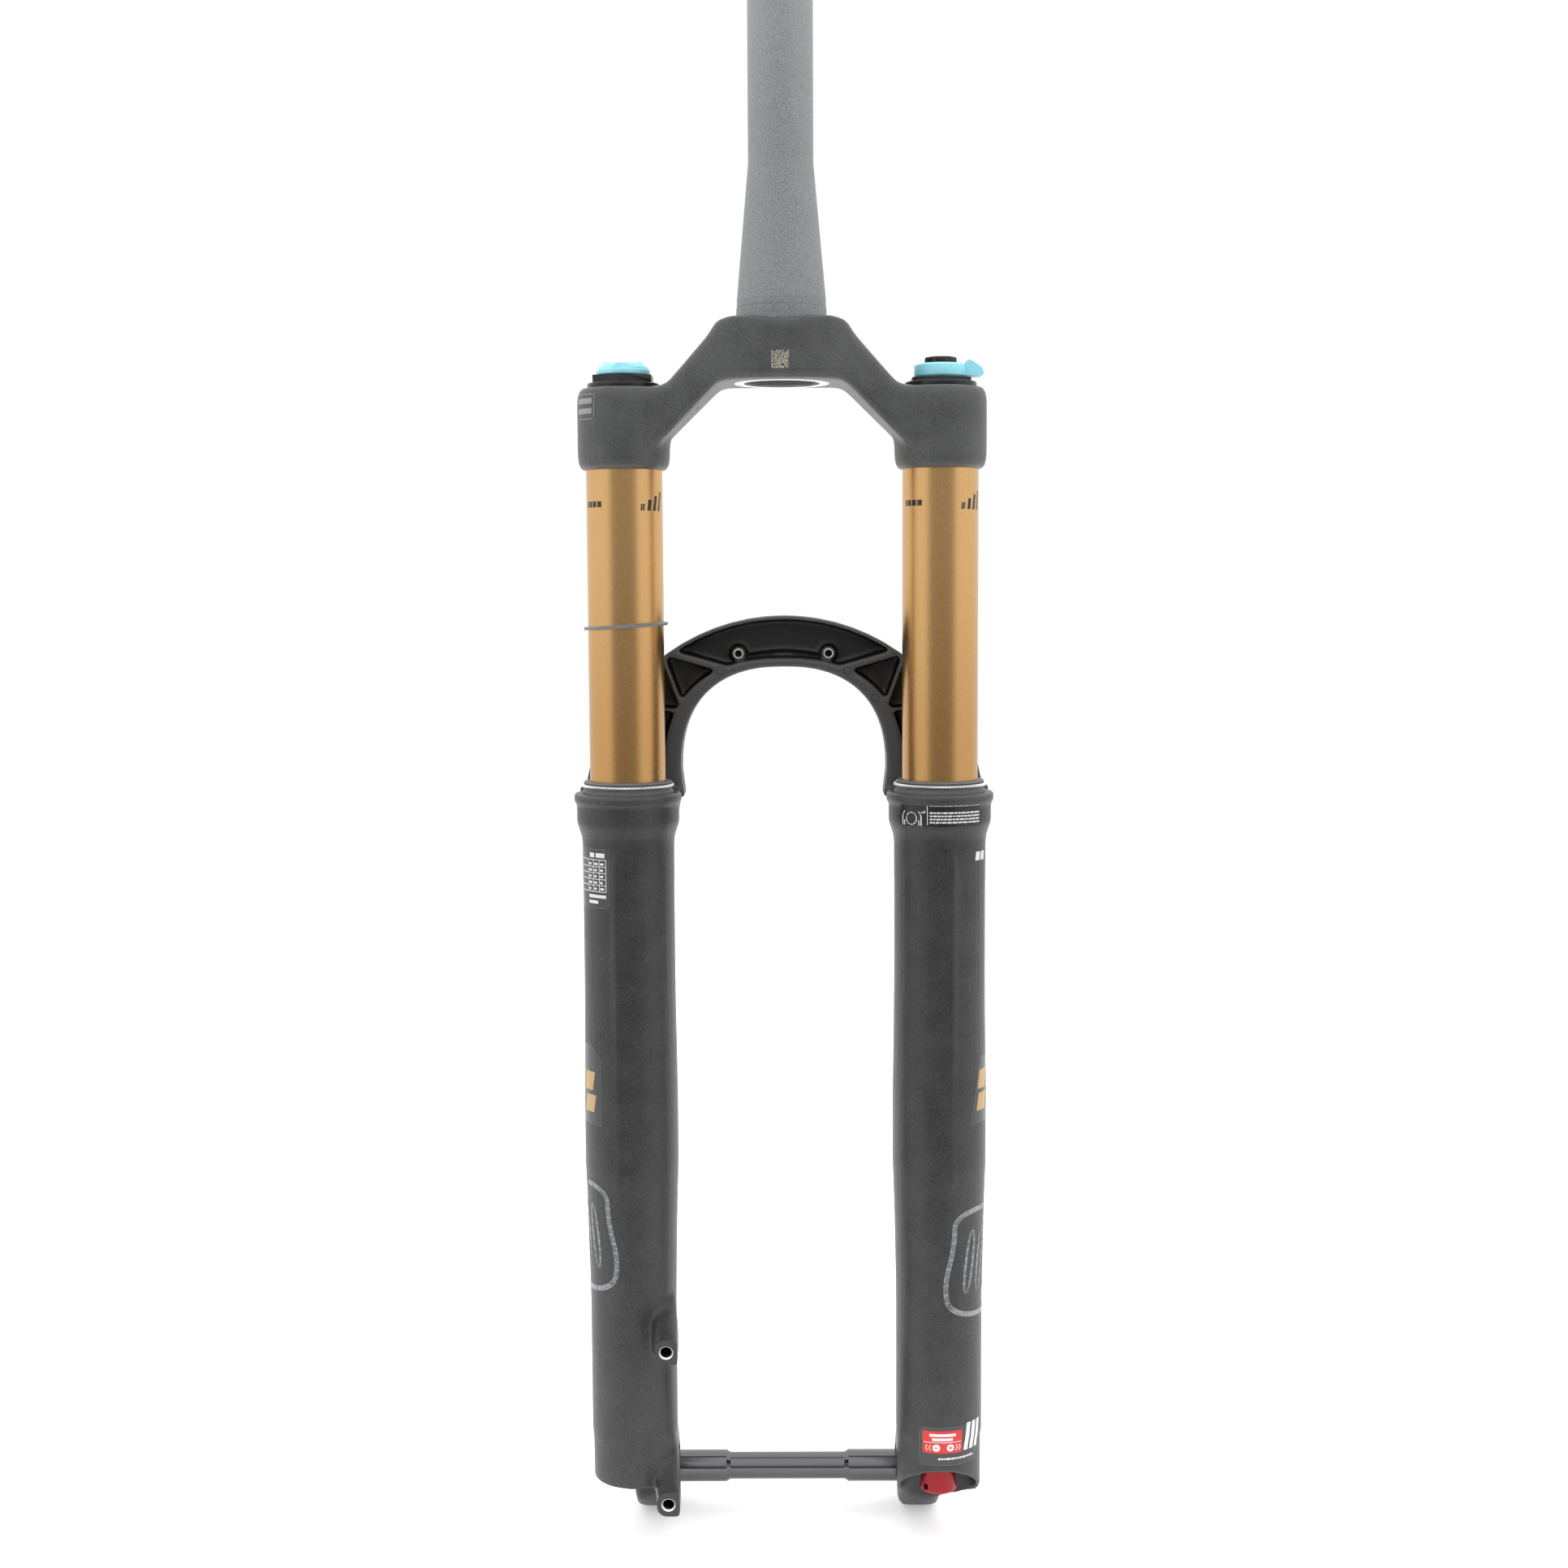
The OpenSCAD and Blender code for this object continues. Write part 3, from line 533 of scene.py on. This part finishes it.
dress(plastic("black plastic", (0.015, 0.015, 0.016), (0.035, 0.035, 0.037)), "air_piston")
soften(0.00025, "air_top_cap", "valve_cap", "air_foot_nut")


# ---- Damper, right leg ----
# A blue three-position lever and a small black low-speed knob sit on the damper's cap.
# Their tube and rod run down to the base valve; the cartridge, its piston and its hollow shaft are below.

black_plastic = plastic("moulded black plastic", (0.018, 0.018, 0.02), (0.04, 0.04, 0.043), 0.35)
gold_valve_body = anodised("gold valve body", (0.42, 0.30, 0.08), (0.55, 0.41, 0.14))
dress(black_anodised, "damper_top_cap", "low_speed_knob", "damper_seal_head", "damper_foot_nut")
dress(blue_anodised, "compression_lever")
dress(seal_rubber, "damper_top_cap_seal", "bladder")
dress(gold_valve_body, "base_valve", "damper_piston")
dress(bare_aluminium, "compression_tube", "cartridge_tube", "low_speed_rod", "rebound_rod")
dress(black_plastic, "damper_piston_band")
dress(chrome, "damper_shaft")
soften(0.00025, "damper_top_cap", "compression_lever", "low_speed_knob", "damper_foot_nut")


# ---- Travel ring ----
# A thin rubber ring that the wiper pushes up the left stanchion, to show how far the fork moved.

dress(rubber("ring rubber", (0.12, 0.124, 0.13), (0.21, 0.215, 0.225), 0.3), "travel_ring")


# ---- Lower legs ----
# Both legs, the arch between them, the dropouts and the brake posts are one thin magnesium casting.
# It is painted satin black-grey, and afterwards bored, faced and tapped where other pieces fit.

POST_GAP = 74.2                                                          # between the two brake posts
POST_FACES = {"upper": (-53.9, -25.5, -458.0), "lower": (-53.9, -18.5, -531.9)}


def post_place(along):
    """On the face of the brake post that is so far down from the upper one, with local Z out of its hole."""
    top = Matrix.Translation((-0.0539, -0.0255, -0.458)) @ Matrix.Rotation(math.radians(5.4), 4, "X")
    return top @ Matrix.Translation((0, 0, -along * MM)) @ Matrix.Rotation(math.pi / 2, 4, "X")


def slab(radii, reach, back, front, steps=16):
    """A curved bar over the middle of the arch: radii from its centre, reach in degrees to either side."""
    low, high = radii
    shape = bmesh.new()
    loops = []
    for i in range(steps + 1):
        turn = math.radians(reach * (2 * i / steps - 1))
        loops.append([shape.verts.new((r * math.sin(turn) * MM, y * MM, (r * math.cos(turn) - 222.5) * MM))
                      for r, y in ((high, back), (high, front), (low, front), (low, back))])
    for before, after in zip(loops, loops[1:]):
        for k in range(4):
            m = (k + 1) % 4
            shape.faces.new((before[k], before[m], after[m], after[k]))
    shape.faces.new(loops[0])
    shape.faces.new(reversed(loops[-1]))
    return closed(shape)


def cast_legs():
    hub_face, outer_face = 52.4, 73.0
    posts = [post_place(0), post_place(POST_GAP)]
    inserts = [Matrix.Translation((x, 0.0322, -0.147)) @ Matrix.Rotation(-math.pi / 2, 4, "X")
               for x in (-0.0208, 0.0208)]
    boss_r = 18.6
    collar = turned([(0, -228), (21, -228), (22.6, -223.4), (23.1, -221.6), (23.1, -213.4), (24.15, -212.4),
                     (24.2, -208.6), (0, -208.6)])
    ridge = slab((75.0, 76.4), 12.5, 36.5, 42)
    fillers = [(rod(boss_r, low, high), along_axle(0))
               for low, high in ((hub_face, outer_face), (-outer_face, -hub_face))]
    fillers += [(collar, along_leg(side)) for side in (-1, 1)] + [(ridge, Matrix.Identity(4))]
    fillers += [(rod(19.8, -506, -208.5), along_leg(side)) for side in (-1, 1)]
    for post in posts:
        fillers.append((block((-2, -5.8, -13), (5.1, 6.1, 1.5)), post))
        fillers += [(rod(4.7, -17, 1.5), post @ Matrix.Translation((-0.6 * MM, up * MM, 0))) for up in (-1.1, 1.4)]
    fillers += [(rod(3.2, 1, 15.6), insert) for insert in inserts]
    mesh = blank("lower_legs", 0.00075, *fillers)

    def roots(x, y, z):
        """Where the casting's parts run into each other in long rounds."""
        dropouts = ramp(y, 12, 22) * ramp(-z, 470, 492)
        gusset = ramp(y, 13, 19) * ramp(z, -280, -262) * (1 - ramp(z, -219, -213))
        posts = ramp(-x, 44, 50) * (1 - ramp(y, 0, 8)) * ramp(-z, 436, 446) * ramp(z, -560, -545)
        from_face = np.minimum(*[np.sqrt((x - a) ** 2 + (y - b) ** 2 + (z - c) ** 2)
                                 for a, b, c in POST_FACES.values()])
        return np.maximum(np.maximum(dropouts, gusset), 0.28 * posts * ramp(from_face, 7.5, 11.5))

    def barrels(x, y, z):
        return ramp(-z, 232, 240) * (1 - ramp(-z, 500, 512))

    def arch(x, y, z):
        return ramp(z, -212, -204) * ramp(y, 24, 28)

    mesh = eased(mesh, (4, everywhere), (90, roots), (1, barrels), (6, arch), (1, everywhere))
    leg_bore = turned([(0, -505), (17.6, -505), (17.6, -364), (18.3, -364), (18.3, -222.5), (19.5, -222.5),
                       (19.5, -200), (0, -200)])
    cuts = [(leg_bore, along_leg(side)) for side in (-1, 1)]
    for side in (-1, 1):
        cuts.append((rod(10.8, side * 55 - 5, side * 55) if side > 0 else rod(10.8, -55, -50), along_axle(0)))
        low, high = sorted((side * 50, side * 55))
        cuts.append((block((low, 33.2, -575), (high, 54.8, -540)), Matrix.Identity(4)))
    axle_bore, head_bore, nut_bore = rod(7.55, -100, 100), rod(10.2, -80, -69), rod(9.5, 57, 100)
    cuts += [(bore, along_axle(0)) for bore in (axle_bore, head_bore, nut_bore)]
    cuts += [(block((-9, -9, 0), (9, 9, 9)), post) for post in posts]
    cuts += [(rod(2.98, -16, 3), post) for post in posts]
    cuts += [(rod(2.4, -4, 14.2), insert) for insert in inserts]
    ejector = turned([(1.55, -0.4), (1.95, -0.4), (1.95, 1), (1.55, 1)], 32)
    for x, z in ((-28.9, -154.6), (29.3, -154.8), (42.2, -167.5)):
        cuts.append((ejector, Matrix.Translation((x * MM, 0.029, z * MM)) @ Matrix.Rotation(math.pi / 2, 4, "X")))
    return cut(mesh, *cuts)


def leg_finish():
    """The legs' paint, with a painted highlight on the arch's edges, painted shade in its hollow, and painted shade
    that leaves the bores near-black inside.
    """
    finish = satin_charcoal("leg satin charcoal", (0.007, 0.007, 0.0075), (0.046, 0.0465, 0.047))
    painted = Wire(finish.shader.inputs["Base Color"].links[0].from_socket)
    x, y, z = finish.xyz(finish.place)
    across, through = abs(x) - LEG_X, y - LEG_Y
    # Painted shade: inside the bores the paint gives way to a near-black colour.
    inside = finish.step(across ** 2 + through ** 2, 0.0182 ** 2, 0.0178 ** 2)
    on_arch = finish.step(z, -0.214, -0.206) * (1 - inside)
    # Painted highlight: the arch's rear edges are painted paler than the rest of the paint.
    edges = on_arch * finish.step(y, 0.0325, 0.0305) * 0.75
    # Painted shade: the deep hollow of the arch is painted darker.
    hollow = on_arch * finish.step(y, 0.0325, 0.0360)
    arch_rim_highlight = finish.mix(edges, painted, (0.075, 0.076, 0.078))
    arch_hollow_shade = finish.mix(hollow, arch_rim_highlight, (0.007, 0.0065, 0.006))
    finish.feed(Base_Color=finish.mix(inside, arch_hollow_shade, (0.012, 0.0115, 0.011)))
    return finish


leg_paint = leg_finish()
legs = piece_of("cast_lower_legs", cast_legs(), leg_paint, "lowers", "cast_magnesium", "lower_legs")


# Each brake post is faced and has a bright chamfer over an M6 thread. Two thread bushes are pressed into the arch.

def thread_bush(outer, bore, depth, pitch):
    outline = [(outer, -depth), (outer, -0.2), (outer + 0.15, 0.08), (outer, 0.1), (bore, -0.5)]
    turns = int((depth - 1) / pitch)
    for i in range(turns):
        z = -0.6 - i * pitch
        outline += [(bore, z - 0.15 * pitch), (bore + 0.3, z - 0.55 * pitch), (bore, z - 0.95 * pitch)]
    return turned(outline + [(bore, -depth)], 48)


def tapped(face):
    """Fresh-cut metal at a hole's mouth, darkened further in by painted shade."""
    finish = Finish("tapped metal", (0.75, 0.75, 0.76), 0.25, 1.0)
    mark = finish.noise(0.0003)
    # Painted shade: the thread is painted darker the deeper it lies in the hole.
    hole_shade_depth = finish.step(finish.xyz(finish.place)[1], face + 0.0004, face + 0.0022)
    finish.feed(Base_Color=finish.mix(hole_shade_depth, (0.80, 0.80, 0.81), (0.10, 0.098, 0.09)), Roughness=0.22 + 0.12 * mark)
    return finish


for name, along in (("upper", 0), ("lower", POST_GAP)):
    thread = thread_bush(3.0, 2.5, 14, 1.0)
    thread.transform(post_place(along))
    piece_of(f"post_thread_{name}", thread, tapped(POST_FACES[name][1] * MM), "lowers", "bare_aluminium")
dress(bare_aluminium, "mudguard_inserts")
soften(0.0002, "mudguard_inserts")


# ---- Wiper seals, bushings and feet ----
# A grey-lipped rubber wiper is pressed into each leg, held tight by a coiled garter spring in its groove.
# Under it are an oiled foam ring and two bushings; a copper washer and a nut close each foot.

def coil(ring, cord, height, wire=0.28, turns=176, steps=12, around=6):
    """A garter spring: wire wound round a ring, its ends joined. Lengths in millimetres."""
    shape = bmesh.new()
    loops = []
    for i in range(turns * steps):
        wind, turn = i * math.tau / steps, i * math.tau / (turns * steps)
        out = Vector((math.cos(turn), math.sin(turn), 0))
        radial = out * math.cos(wind) + Vector((0, 0, math.sin(wind)))
        centre = out * ring + Vector((0, 0, height)) + radial * (cord - wire)
        along = Vector((-math.sin(turn), math.cos(turn), 0))
        loops.append([shape.verts.new((centre + (radial * math.cos(a) + along * math.sin(a)) * wire) * MM)
                      for a in (k * math.tau / around for k in range(around))])
    for i, loop in enumerate(loops):
        beyond = loops[(i + 1) % len(loops)]
        for k in range(around):
            m = (k + 1) % around
            shape.faces.new((loop[k], loop[m], beyond[m], beyond[k]))
    return closed(shape)


wiper_rubber = rubber("wiper rubber", (0.10, 0.102, 0.106), (0.16, 0.16, 0.166), 0.5)
foam = rubber("oiled foam", (0.05, 0.045, 0.035), (0.10, 0.09, 0.07), 0.8)
bushing = rubber("slide bushing", (0.16, 0.15, 0.12), (0.26, 0.23, 0.18), 0.35)
copper = plain_metal("copper", (0.70, 0.36, 0.20), (0.80, 0.46, 0.28), 0.3)
for name, side in SIDES.items():
    dress(wiper_rubber, f"wiper_seal_{name}")
    dress(foam, f"foam_ring_{name}")
    dress(bushing, f"upper_bushing_{name}", f"lower_bushing_{name}")
    spring = coil(20.1, 0.75, -205.1)
    spring.transform(along_leg(side))
    piece_of(f"garter_spring_{name}", spring, spring_steel, "lowers", "spring_steel", f"wiper_spring_{name}")
dress(copper, "air_foot_washer", "damper_foot_washer")


# ---- Rebound knob ----
# A red anodised knob on the end of the rebound rod, inside the open foot of the right leg.
# A small black grub screw holds it on.

dress(anodised("red anodised", (0.25, 0.008, 0.013), (0.38, 0.02, 0.026), 0.26, 0.5), "rebound_knob")
dress(black_anodised, "rebound_knob_screw")
soften(0.0003, "rebound_knob")


# ---- Through axle ----
# A hollow aluminium axle, waisted between the hub ends, polished and anodised black, with a hex socket head.
# It screws into a black threaded nut in the right dropout.

axle_black = Finish("polished black", (0.10, 0.10, 0.105), 0.1, 1.0)
axle_black.grain(0.0003, 0.000004, (0.10, 0.098, 0.102), (0.17, 0.168, 0.174), 0.06, 0.12, (6, 1, 1))
dress(axle_black, "thru_axle")
dress(black_anodised, "axle_nut")


# ---- Printed marks and labels ----
# Thin films and inks laid on the paint: a tyre clearance label, a settings table, side stripes, an adjuster label.
# Each is a thin curved sheet of its own, made in the flat and wrapped on to the surface under it.

class Roll:
    """A surface wrapped round an upright axis. Points on it are (mm round from the rear, mm up)."""

    def __init__(self, mesh, centre, radius):
        shape = bmesh.new()
        shape.from_mesh(mesh)
        self.tree = BVHTree.FromBMesh(shape)
        shape.free()
        self.centre = Vector(centre)
        self.radius = radius

    def at(self, s, z, lift):
        turn = s / self.radius
        out = Vector((math.sin(turn), -math.cos(turn), 0))
        start = Vector((self.centre.x, self.centre.y, z * MM)) + out * 0.045
        hit = self.tree.ray_cast(start, -out, 0.045)[0]
        reach = (hit - start).length if hit else 0.045 - self.radius * MM
        return start - out * (reach - lift * MM)

    def sheet(self, outlines, lift, thick=0.05, cell=1.0):
        """A thin closed sheet of each outline, lying lift millimetres off the surface."""
        flat = bmesh.new()
        for outline in outlines:
            flat.faces.new([flat.verts.new((s, z, 0)) for s, z in outline])
        for axis in (0, 1):
            spots = [v.co[axis] for v in flat.verts]
            step = cell if axis == 0 else 4 * cell
            normal = Vector((1, 0, 0)) if axis == 0 else Vector((0, 1, 0))
            for i in range(math.floor(min(spots) / step) + 1, math.ceil(max(spots) / step)):
                bmesh.ops.bisect_plane(flat, geom=flat.verts[:] + flat.edges[:] + flat.faces[:],
                                       plane_co=normal * (i * step), plane_no=normal, dist=1e-5)
        bmesh.ops.triangulate(flat, faces=flat.faces)
        places = {v: v.co.copy() for v in flat.verts}
        made = bmesh.ops.extrude_face_region(flat, geom=flat.faces[:])["geom"]
        raised = {v for v in made if isinstance(v, bmesh.types.BMVert)}
        for v in flat.verts:
            s, z = v.co.x, v.co.y
            v.co = self.at(s, z, lift + (thick if v in raised else 0) - 0.5 * thick)
        return closed(flat)


def bar(s0, s1, z0, z1, lean=0.0):
    """An upright rectangle, its top moved over by lean."""
    return [(s0, z0), (s1, z0), (s1 + lean, z1), (s0 + lean, z1)]


def rounded(s0, s1, z0, z1, corner, steps=5):
    """A rectangle with round corners."""
    corners = [(s1 - corner, z1 - corner, 0), (s0 + corner, z1 - corner, 90),
               (s0 + corner, z0 + corner, 180), (s1 - corner, z0 + corner, 270)]
    return [spot for s, z, start in corners for spot in arc(s, z, corner, start, start + 90, steps)]


def disc(s, z, radius, steps=24):
    return [(s + radius * math.cos(i * math.tau / steps), z + radius * math.sin(i * math.tau / steps))
            for i in range(steps)]


def band(points, width):
    """Quadrilaterals that follow a line of points at an even width."""
    strips = []
    normals = []
    for i, point in enumerate(points):
        before, after = Vector(points[max(i - 1, 0)]), Vector(points[min(i + 1, len(points) - 1)])
        run = (after - before).normalized()
        normals.append(Vector((-run.y, run.x)) * width / 2)
    for i in range(len(points) - 1):
        p, q, n, m = Vector(points[i]), Vector(points[i + 1]), normals[i], normals[i + 1]
        strips.append([tuple(p - n), tuple(q - m), tuple(q + m), tuple(p + n)])
    return strips


def softened(points, rounds=4):
    """A closed line with its corners cut round."""
    for _ in range(rounds):
        pairs = list(zip(points, points[1:] + points[:1]))
        points = [spot for (a, b), (c, d) in pairs for spot in
                  ((0.75 * a + 0.25 * c, 0.75 * b + 0.25 * d), (0.25 * a + 0.75 * c, 0.25 * b + 0.75 * d))]
    return points


def arc(s, z, radius, start, end, steps=14):
    """Points on part of a circle, angles in degrees."""
    return [(s + radius * math.cos(math.radians(start + (end - start) * i / steps)),
             z + radius * math.sin(math.radians(start + (end - start) * i / steps))) for i in range(steps + 1)]


def lines_of_bars(rng, s0, s1, z_top, rows, row_height, ink_height):
    """Rows of short bars of uneven length that stand in for small print."""
    made = []
    for row in range(rows):
        z = z_top - row * row_height
        s = s0
        while s < s1 - 0.4:
            length = min(rng.uniform(0.5, 2.1), s1 - s)
            made.append(bar(s, s + length, z - ink_height, z))
            s += length + 0.32
    return made


def ink(name, colour, roughness=0.35, metallic=0.0):
    finish = Finish(name, colour, roughness, metallic)
    darker = tuple(0.86 * c for c in colour)
    finish.grain(0.0003, 0.000004, darker, colour, roughness, roughness + 0.12)
    return finish


white_ink = ink("white ink", (0.80, 0.80, 0.80))
grey_ink = ink("grey ink", (0.31, 0.325, 0.34))
black_film = ink("black film", (0.012, 0.012, 0.013), 0.22)
clear_film = ink("clear film", (0.052, 0.053, 0.054), 0.25)
film_edge = ink("film edge", (0.13, 0.132, 0.136), 0.3)
red_film = ink("red film", (0.72, 0.03, 0.03))
gold_ink = ink("gold ink", (0.55, 0.36, 0.16), 0.35, 0.3)
tan_etch = ink("laser etch", (0.62, 0.56, 0.45), 0.5)

leg_rolls = {name: Roll(legs.data, (side * LEG_X, LEG_Y, 0), 20.8) for name, side in SIDES.items()}
print_slot = "black_plastic"


def lay(name, roll, outlines, finish, lift, body="lowers", slot=print_slot, cell=1.0):
    return piece_of(name, roll.sheet(outlines, lift, cell=cell), finish, body, slot)


def lay_film(name, roll, outline, lift):
    """A clear film, and the fine bright line where its cut edge catches the light."""
    lay(name, roll, [outline], clear_film, lift)
    lay(f"{name}_edge", roll, band(outline + outline[:1], 0.22), film_edge, lift + 0.03)


# Clearance label, round the back of the right collar.
collar = leg_rolls["right"]
dice = random.Random(4)
lay("clearance_label", collar, [rounded(-19.2, 17.8, -222.3, -213.0, 0.6)], black_film, 0.04)
tyre = [(-13.4 + 1.6 * c, -218.9 + 1.8 * d) for c, d in arc(0, 0, 1.5, 0, 360, 24)]
sketch = band(tyre, 0.45) + band(arc(-13.4, -218.6, 4.4, 8, 172, 20), 0.5)
sketch += [bar(s, s + 0.5, -222.0, -218.0) for s in (-18.0, -9.25)]
sketch += [bar(s, s + 0.4, -222.0, -219.6) for s in (-17.0, -10.2)]
sketch += [bar(-14.9, -11.9, -213.9, -213.5), bar(-9.0, -7.2, -216.3, -215.9), bar(-7.6, -7.2, -216.3, -213.5)]
print_rows = lines_of_bars(dice, -5.4, 16.4, -213.0, 6, 1.42, 0.72)
lay("clearance_print", collar, sketch + [bar(-6.5, -6.2, -221.6, -213.0)] + print_rows, white_ink, 0.09)

# Settings table on the left leg and a small size mark on the right one.
rows = [bar(-27.0, -9.0, z, z + 0.3) for z in (-237.4, -240.5, -243.3, -246.1, -248.9, -251.7)]
columns = [bar(s, s + 0.3, -251.7, -237.4) for s in (-20.6, -16.6, -13.0, -9.3)]
cells = [bar(s, s + dice.uniform(1.4, 2.3), z - 1.0, z) for z in (-238.6, -241.4, -244.2, -247.0, -249.8)
         for s in (-19.7, -15.9, -12.3)]
heading = [bar(-18.9, -15.8, -236.2, -234.2), bar(-14.8, -9.8, -236.2, -234.2)]
footer = [bar(-19.8, -9.2, -254.4, -253.0), bar(-19.8, -13.6, -257.0, -255.6)]
lay_film("settings_film", leg_rolls["left"], rounded(-29.0, -7.6, -259.0, -232.4, 0.8), 0.04)
lay("settings_table", leg_rolls["left"], rows + columns + cells + heading + footer, white_ink, 0.09)
lay("size_mark", leg_rolls["right"], [bar(s, s + 3.3, -238.5, -234.6, 0.6) for s in (16.7, 20.9)], white_ink, 0.09)

# Slanted stripes under a clear film with a fine edge, and a rounded shield with three slashes, on each leg's flank.
def flank(side, points):
    """Points given for the right leg, moved to the same place on either leg."""
    return [(side * s, z) for s, z in points][::side]


for name, side in SIDES.items():
    roll = leg_rolls[name]
    film = [(13.4, -358), (20.0, -328), (47.0, -328), (40.4, -358)] if side > 0 else \
           [(12.6, -358), (12.6, -329), (18.0, -322), (47.0, -322), (47.0, -358)]
    lay_film(f"stripe_film_{name}", roll, flank(side, film), 0.03)
    lean = 1.6 if side > 0 else -1.6
    blocks = [flank(side, bar(s, s + 7.5, z, z + h, lean)) for s, z, h in
              ((17.4, -352.5, 8), (18.2, -342.5, 8.5), (27.5, -352.5, 18.5), (37.5, -352.5, 18.5))]
    lay(f"stripe_blocks_{name}", roll, blocks, gold_ink, 0.08)
    drop = 12 if side > 0 else 0
    inner = 3 if side > 0 else 7.5
    shield = [(inner + 3, -386), (38, -386), (46, -398), (46, -424), (36, -436), (inner + 1, -434), (inner - 2, -420),
              (inner + 3, -402)]
    outline = softened([(s, z - drop) for s, z in shield])
    lay(f"emblem_{name}", roll, [flank(side, strip) for strip in band(outline + outline[:2], 2.4)], grey_ink, 0.07)
    slashes = [softened([(s, -396 - drop), (s + 4.2, -396 - drop), (s + 0.5, -424 - drop), (s - 3.7, -424 - drop)])
               for s in (inner + 11, inner + 19, inner + 27)]
    lay(f"emblem_slashes_{name}", roll,
        [flank(side, strip) for slash in slashes for strip in band(slash + slash[:2], 1.5)], grey_ink, 0.07)

# Adjuster label above the rebound knob, and three white stripes beside it.
foot_roll = Roll(legs.data, (LEG_X, LEG_Y, 0), 19.3)
lay_film("adjuster_film", foot_roll, rounded(-10.2, 19.8, -516.2, -498.4, 1.6), 0.04)
lay("adjuster_label", foot_roll, [rounded(-8.6, 9.8, -510.6, -500.0, 0.5)], red_film, 0.08)
words = [bar(-5.4, 6.6, -502.6, -501.3), bar(-4.2, 5.2, -504.6, -503.3), bar(-8.0, 9.2, -505.5, -505.2),
         disc(-2.3, -508.0, 1.75), disc(4.2, -508.0, 1.75)]
words += [strip for s, way in ((-5.6, -1), (-7.2, -1), (7.5, 1), (9.0, 1))
          for strip in band([(s - way * 0.7, -506.6), (s, -508.0), (s - way * 0.7, -509.4)], 0.42)]
lay("adjuster_print", foot_roll, words, white_ink, 0.13, cell=0.8)
lay("adjuster_signs", foot_roll, [bar(-3.2, -1.4, -508.2, -507.8), bar(3.3, 5.1, -508.2, -507.8),
                                  bar(4.0, 4.4, -508.9, -507.1)], red_film, 0.18, cell=0.8)
lay("foot_stripes", foot_roll, [bar(s, s + 2.3, -510.2, -497.4, 1.6) for s in (10.8, 14.2, 17.6)], white_ink, 0.09)
lay("adjuster_note", foot_roll, lines_of_bars(dice, -1.4, 16.6, -512.8, 1, 1.5, 0.9), white_ink, 0.09)

# Spring label on the crown's left clamp, and the maker's etched square of cells behind the steerer.
clamp_roll = Roll(crown.data, (-LEG_X, LEG_Y, 0), 20.7)
edge = rounded(-26.5, -12.4, -42.6, -31.8, 1.0)
lay("spring_label_edge", clamp_roll, band(edge + edge[:1], 0.3), grey_ink, 0.06, "upper")
lay("spring_label_print", clamp_roll, [bar(-25.0, -13.8, -36.0, -33.6), bar(-25.0, -13.8, -40.4, -38.0)],
    grey_ink, 0.06, "upper")
back_roll = Roll(crown.data, (0, 0, 0), 27.3)
cell_size = 0.42
squares = [bar(-4.3 + i * cell_size, -4.3 + (i + 1) * cell_size, -23.0 + j * cell_size, -23.0 + (j + 1) * cell_size)
           for i in range(18) for j in range(18) if dice.random() < 0.62]
lay("etched_square", back_roll, squares, tan_etch, 0.04, "upper")

# Black marks printed on the gold of each stanchion just under the crown.
for name, side in SIDES.items():
    tube_roll = Roll(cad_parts[f"stanchion_{name}"].data, (side * LEG_X, LEG_Y, 0), 17.0)
    small = [bar(s, s + w, -81.0, -78.4) for s, w in ((-20.2, 1.4), (-18.2, 2.4), (-15.2, 2.4), (-12.2, 2.6))]
    big = [bar(s, s + 1.9, -82.6, -80.4 + rise, 0.25 * rise)
           for s, rise in ((8.6, 0.8), (12.0, 2.6), (15.4, 4.4), (18.8, 6.2))]
    marks = tube_roll.sheet(small + big, 0.012, thick=0.02)
    piece_of(f"stanchion_mark_{name}", marks, black_film, "upper", print_slot)
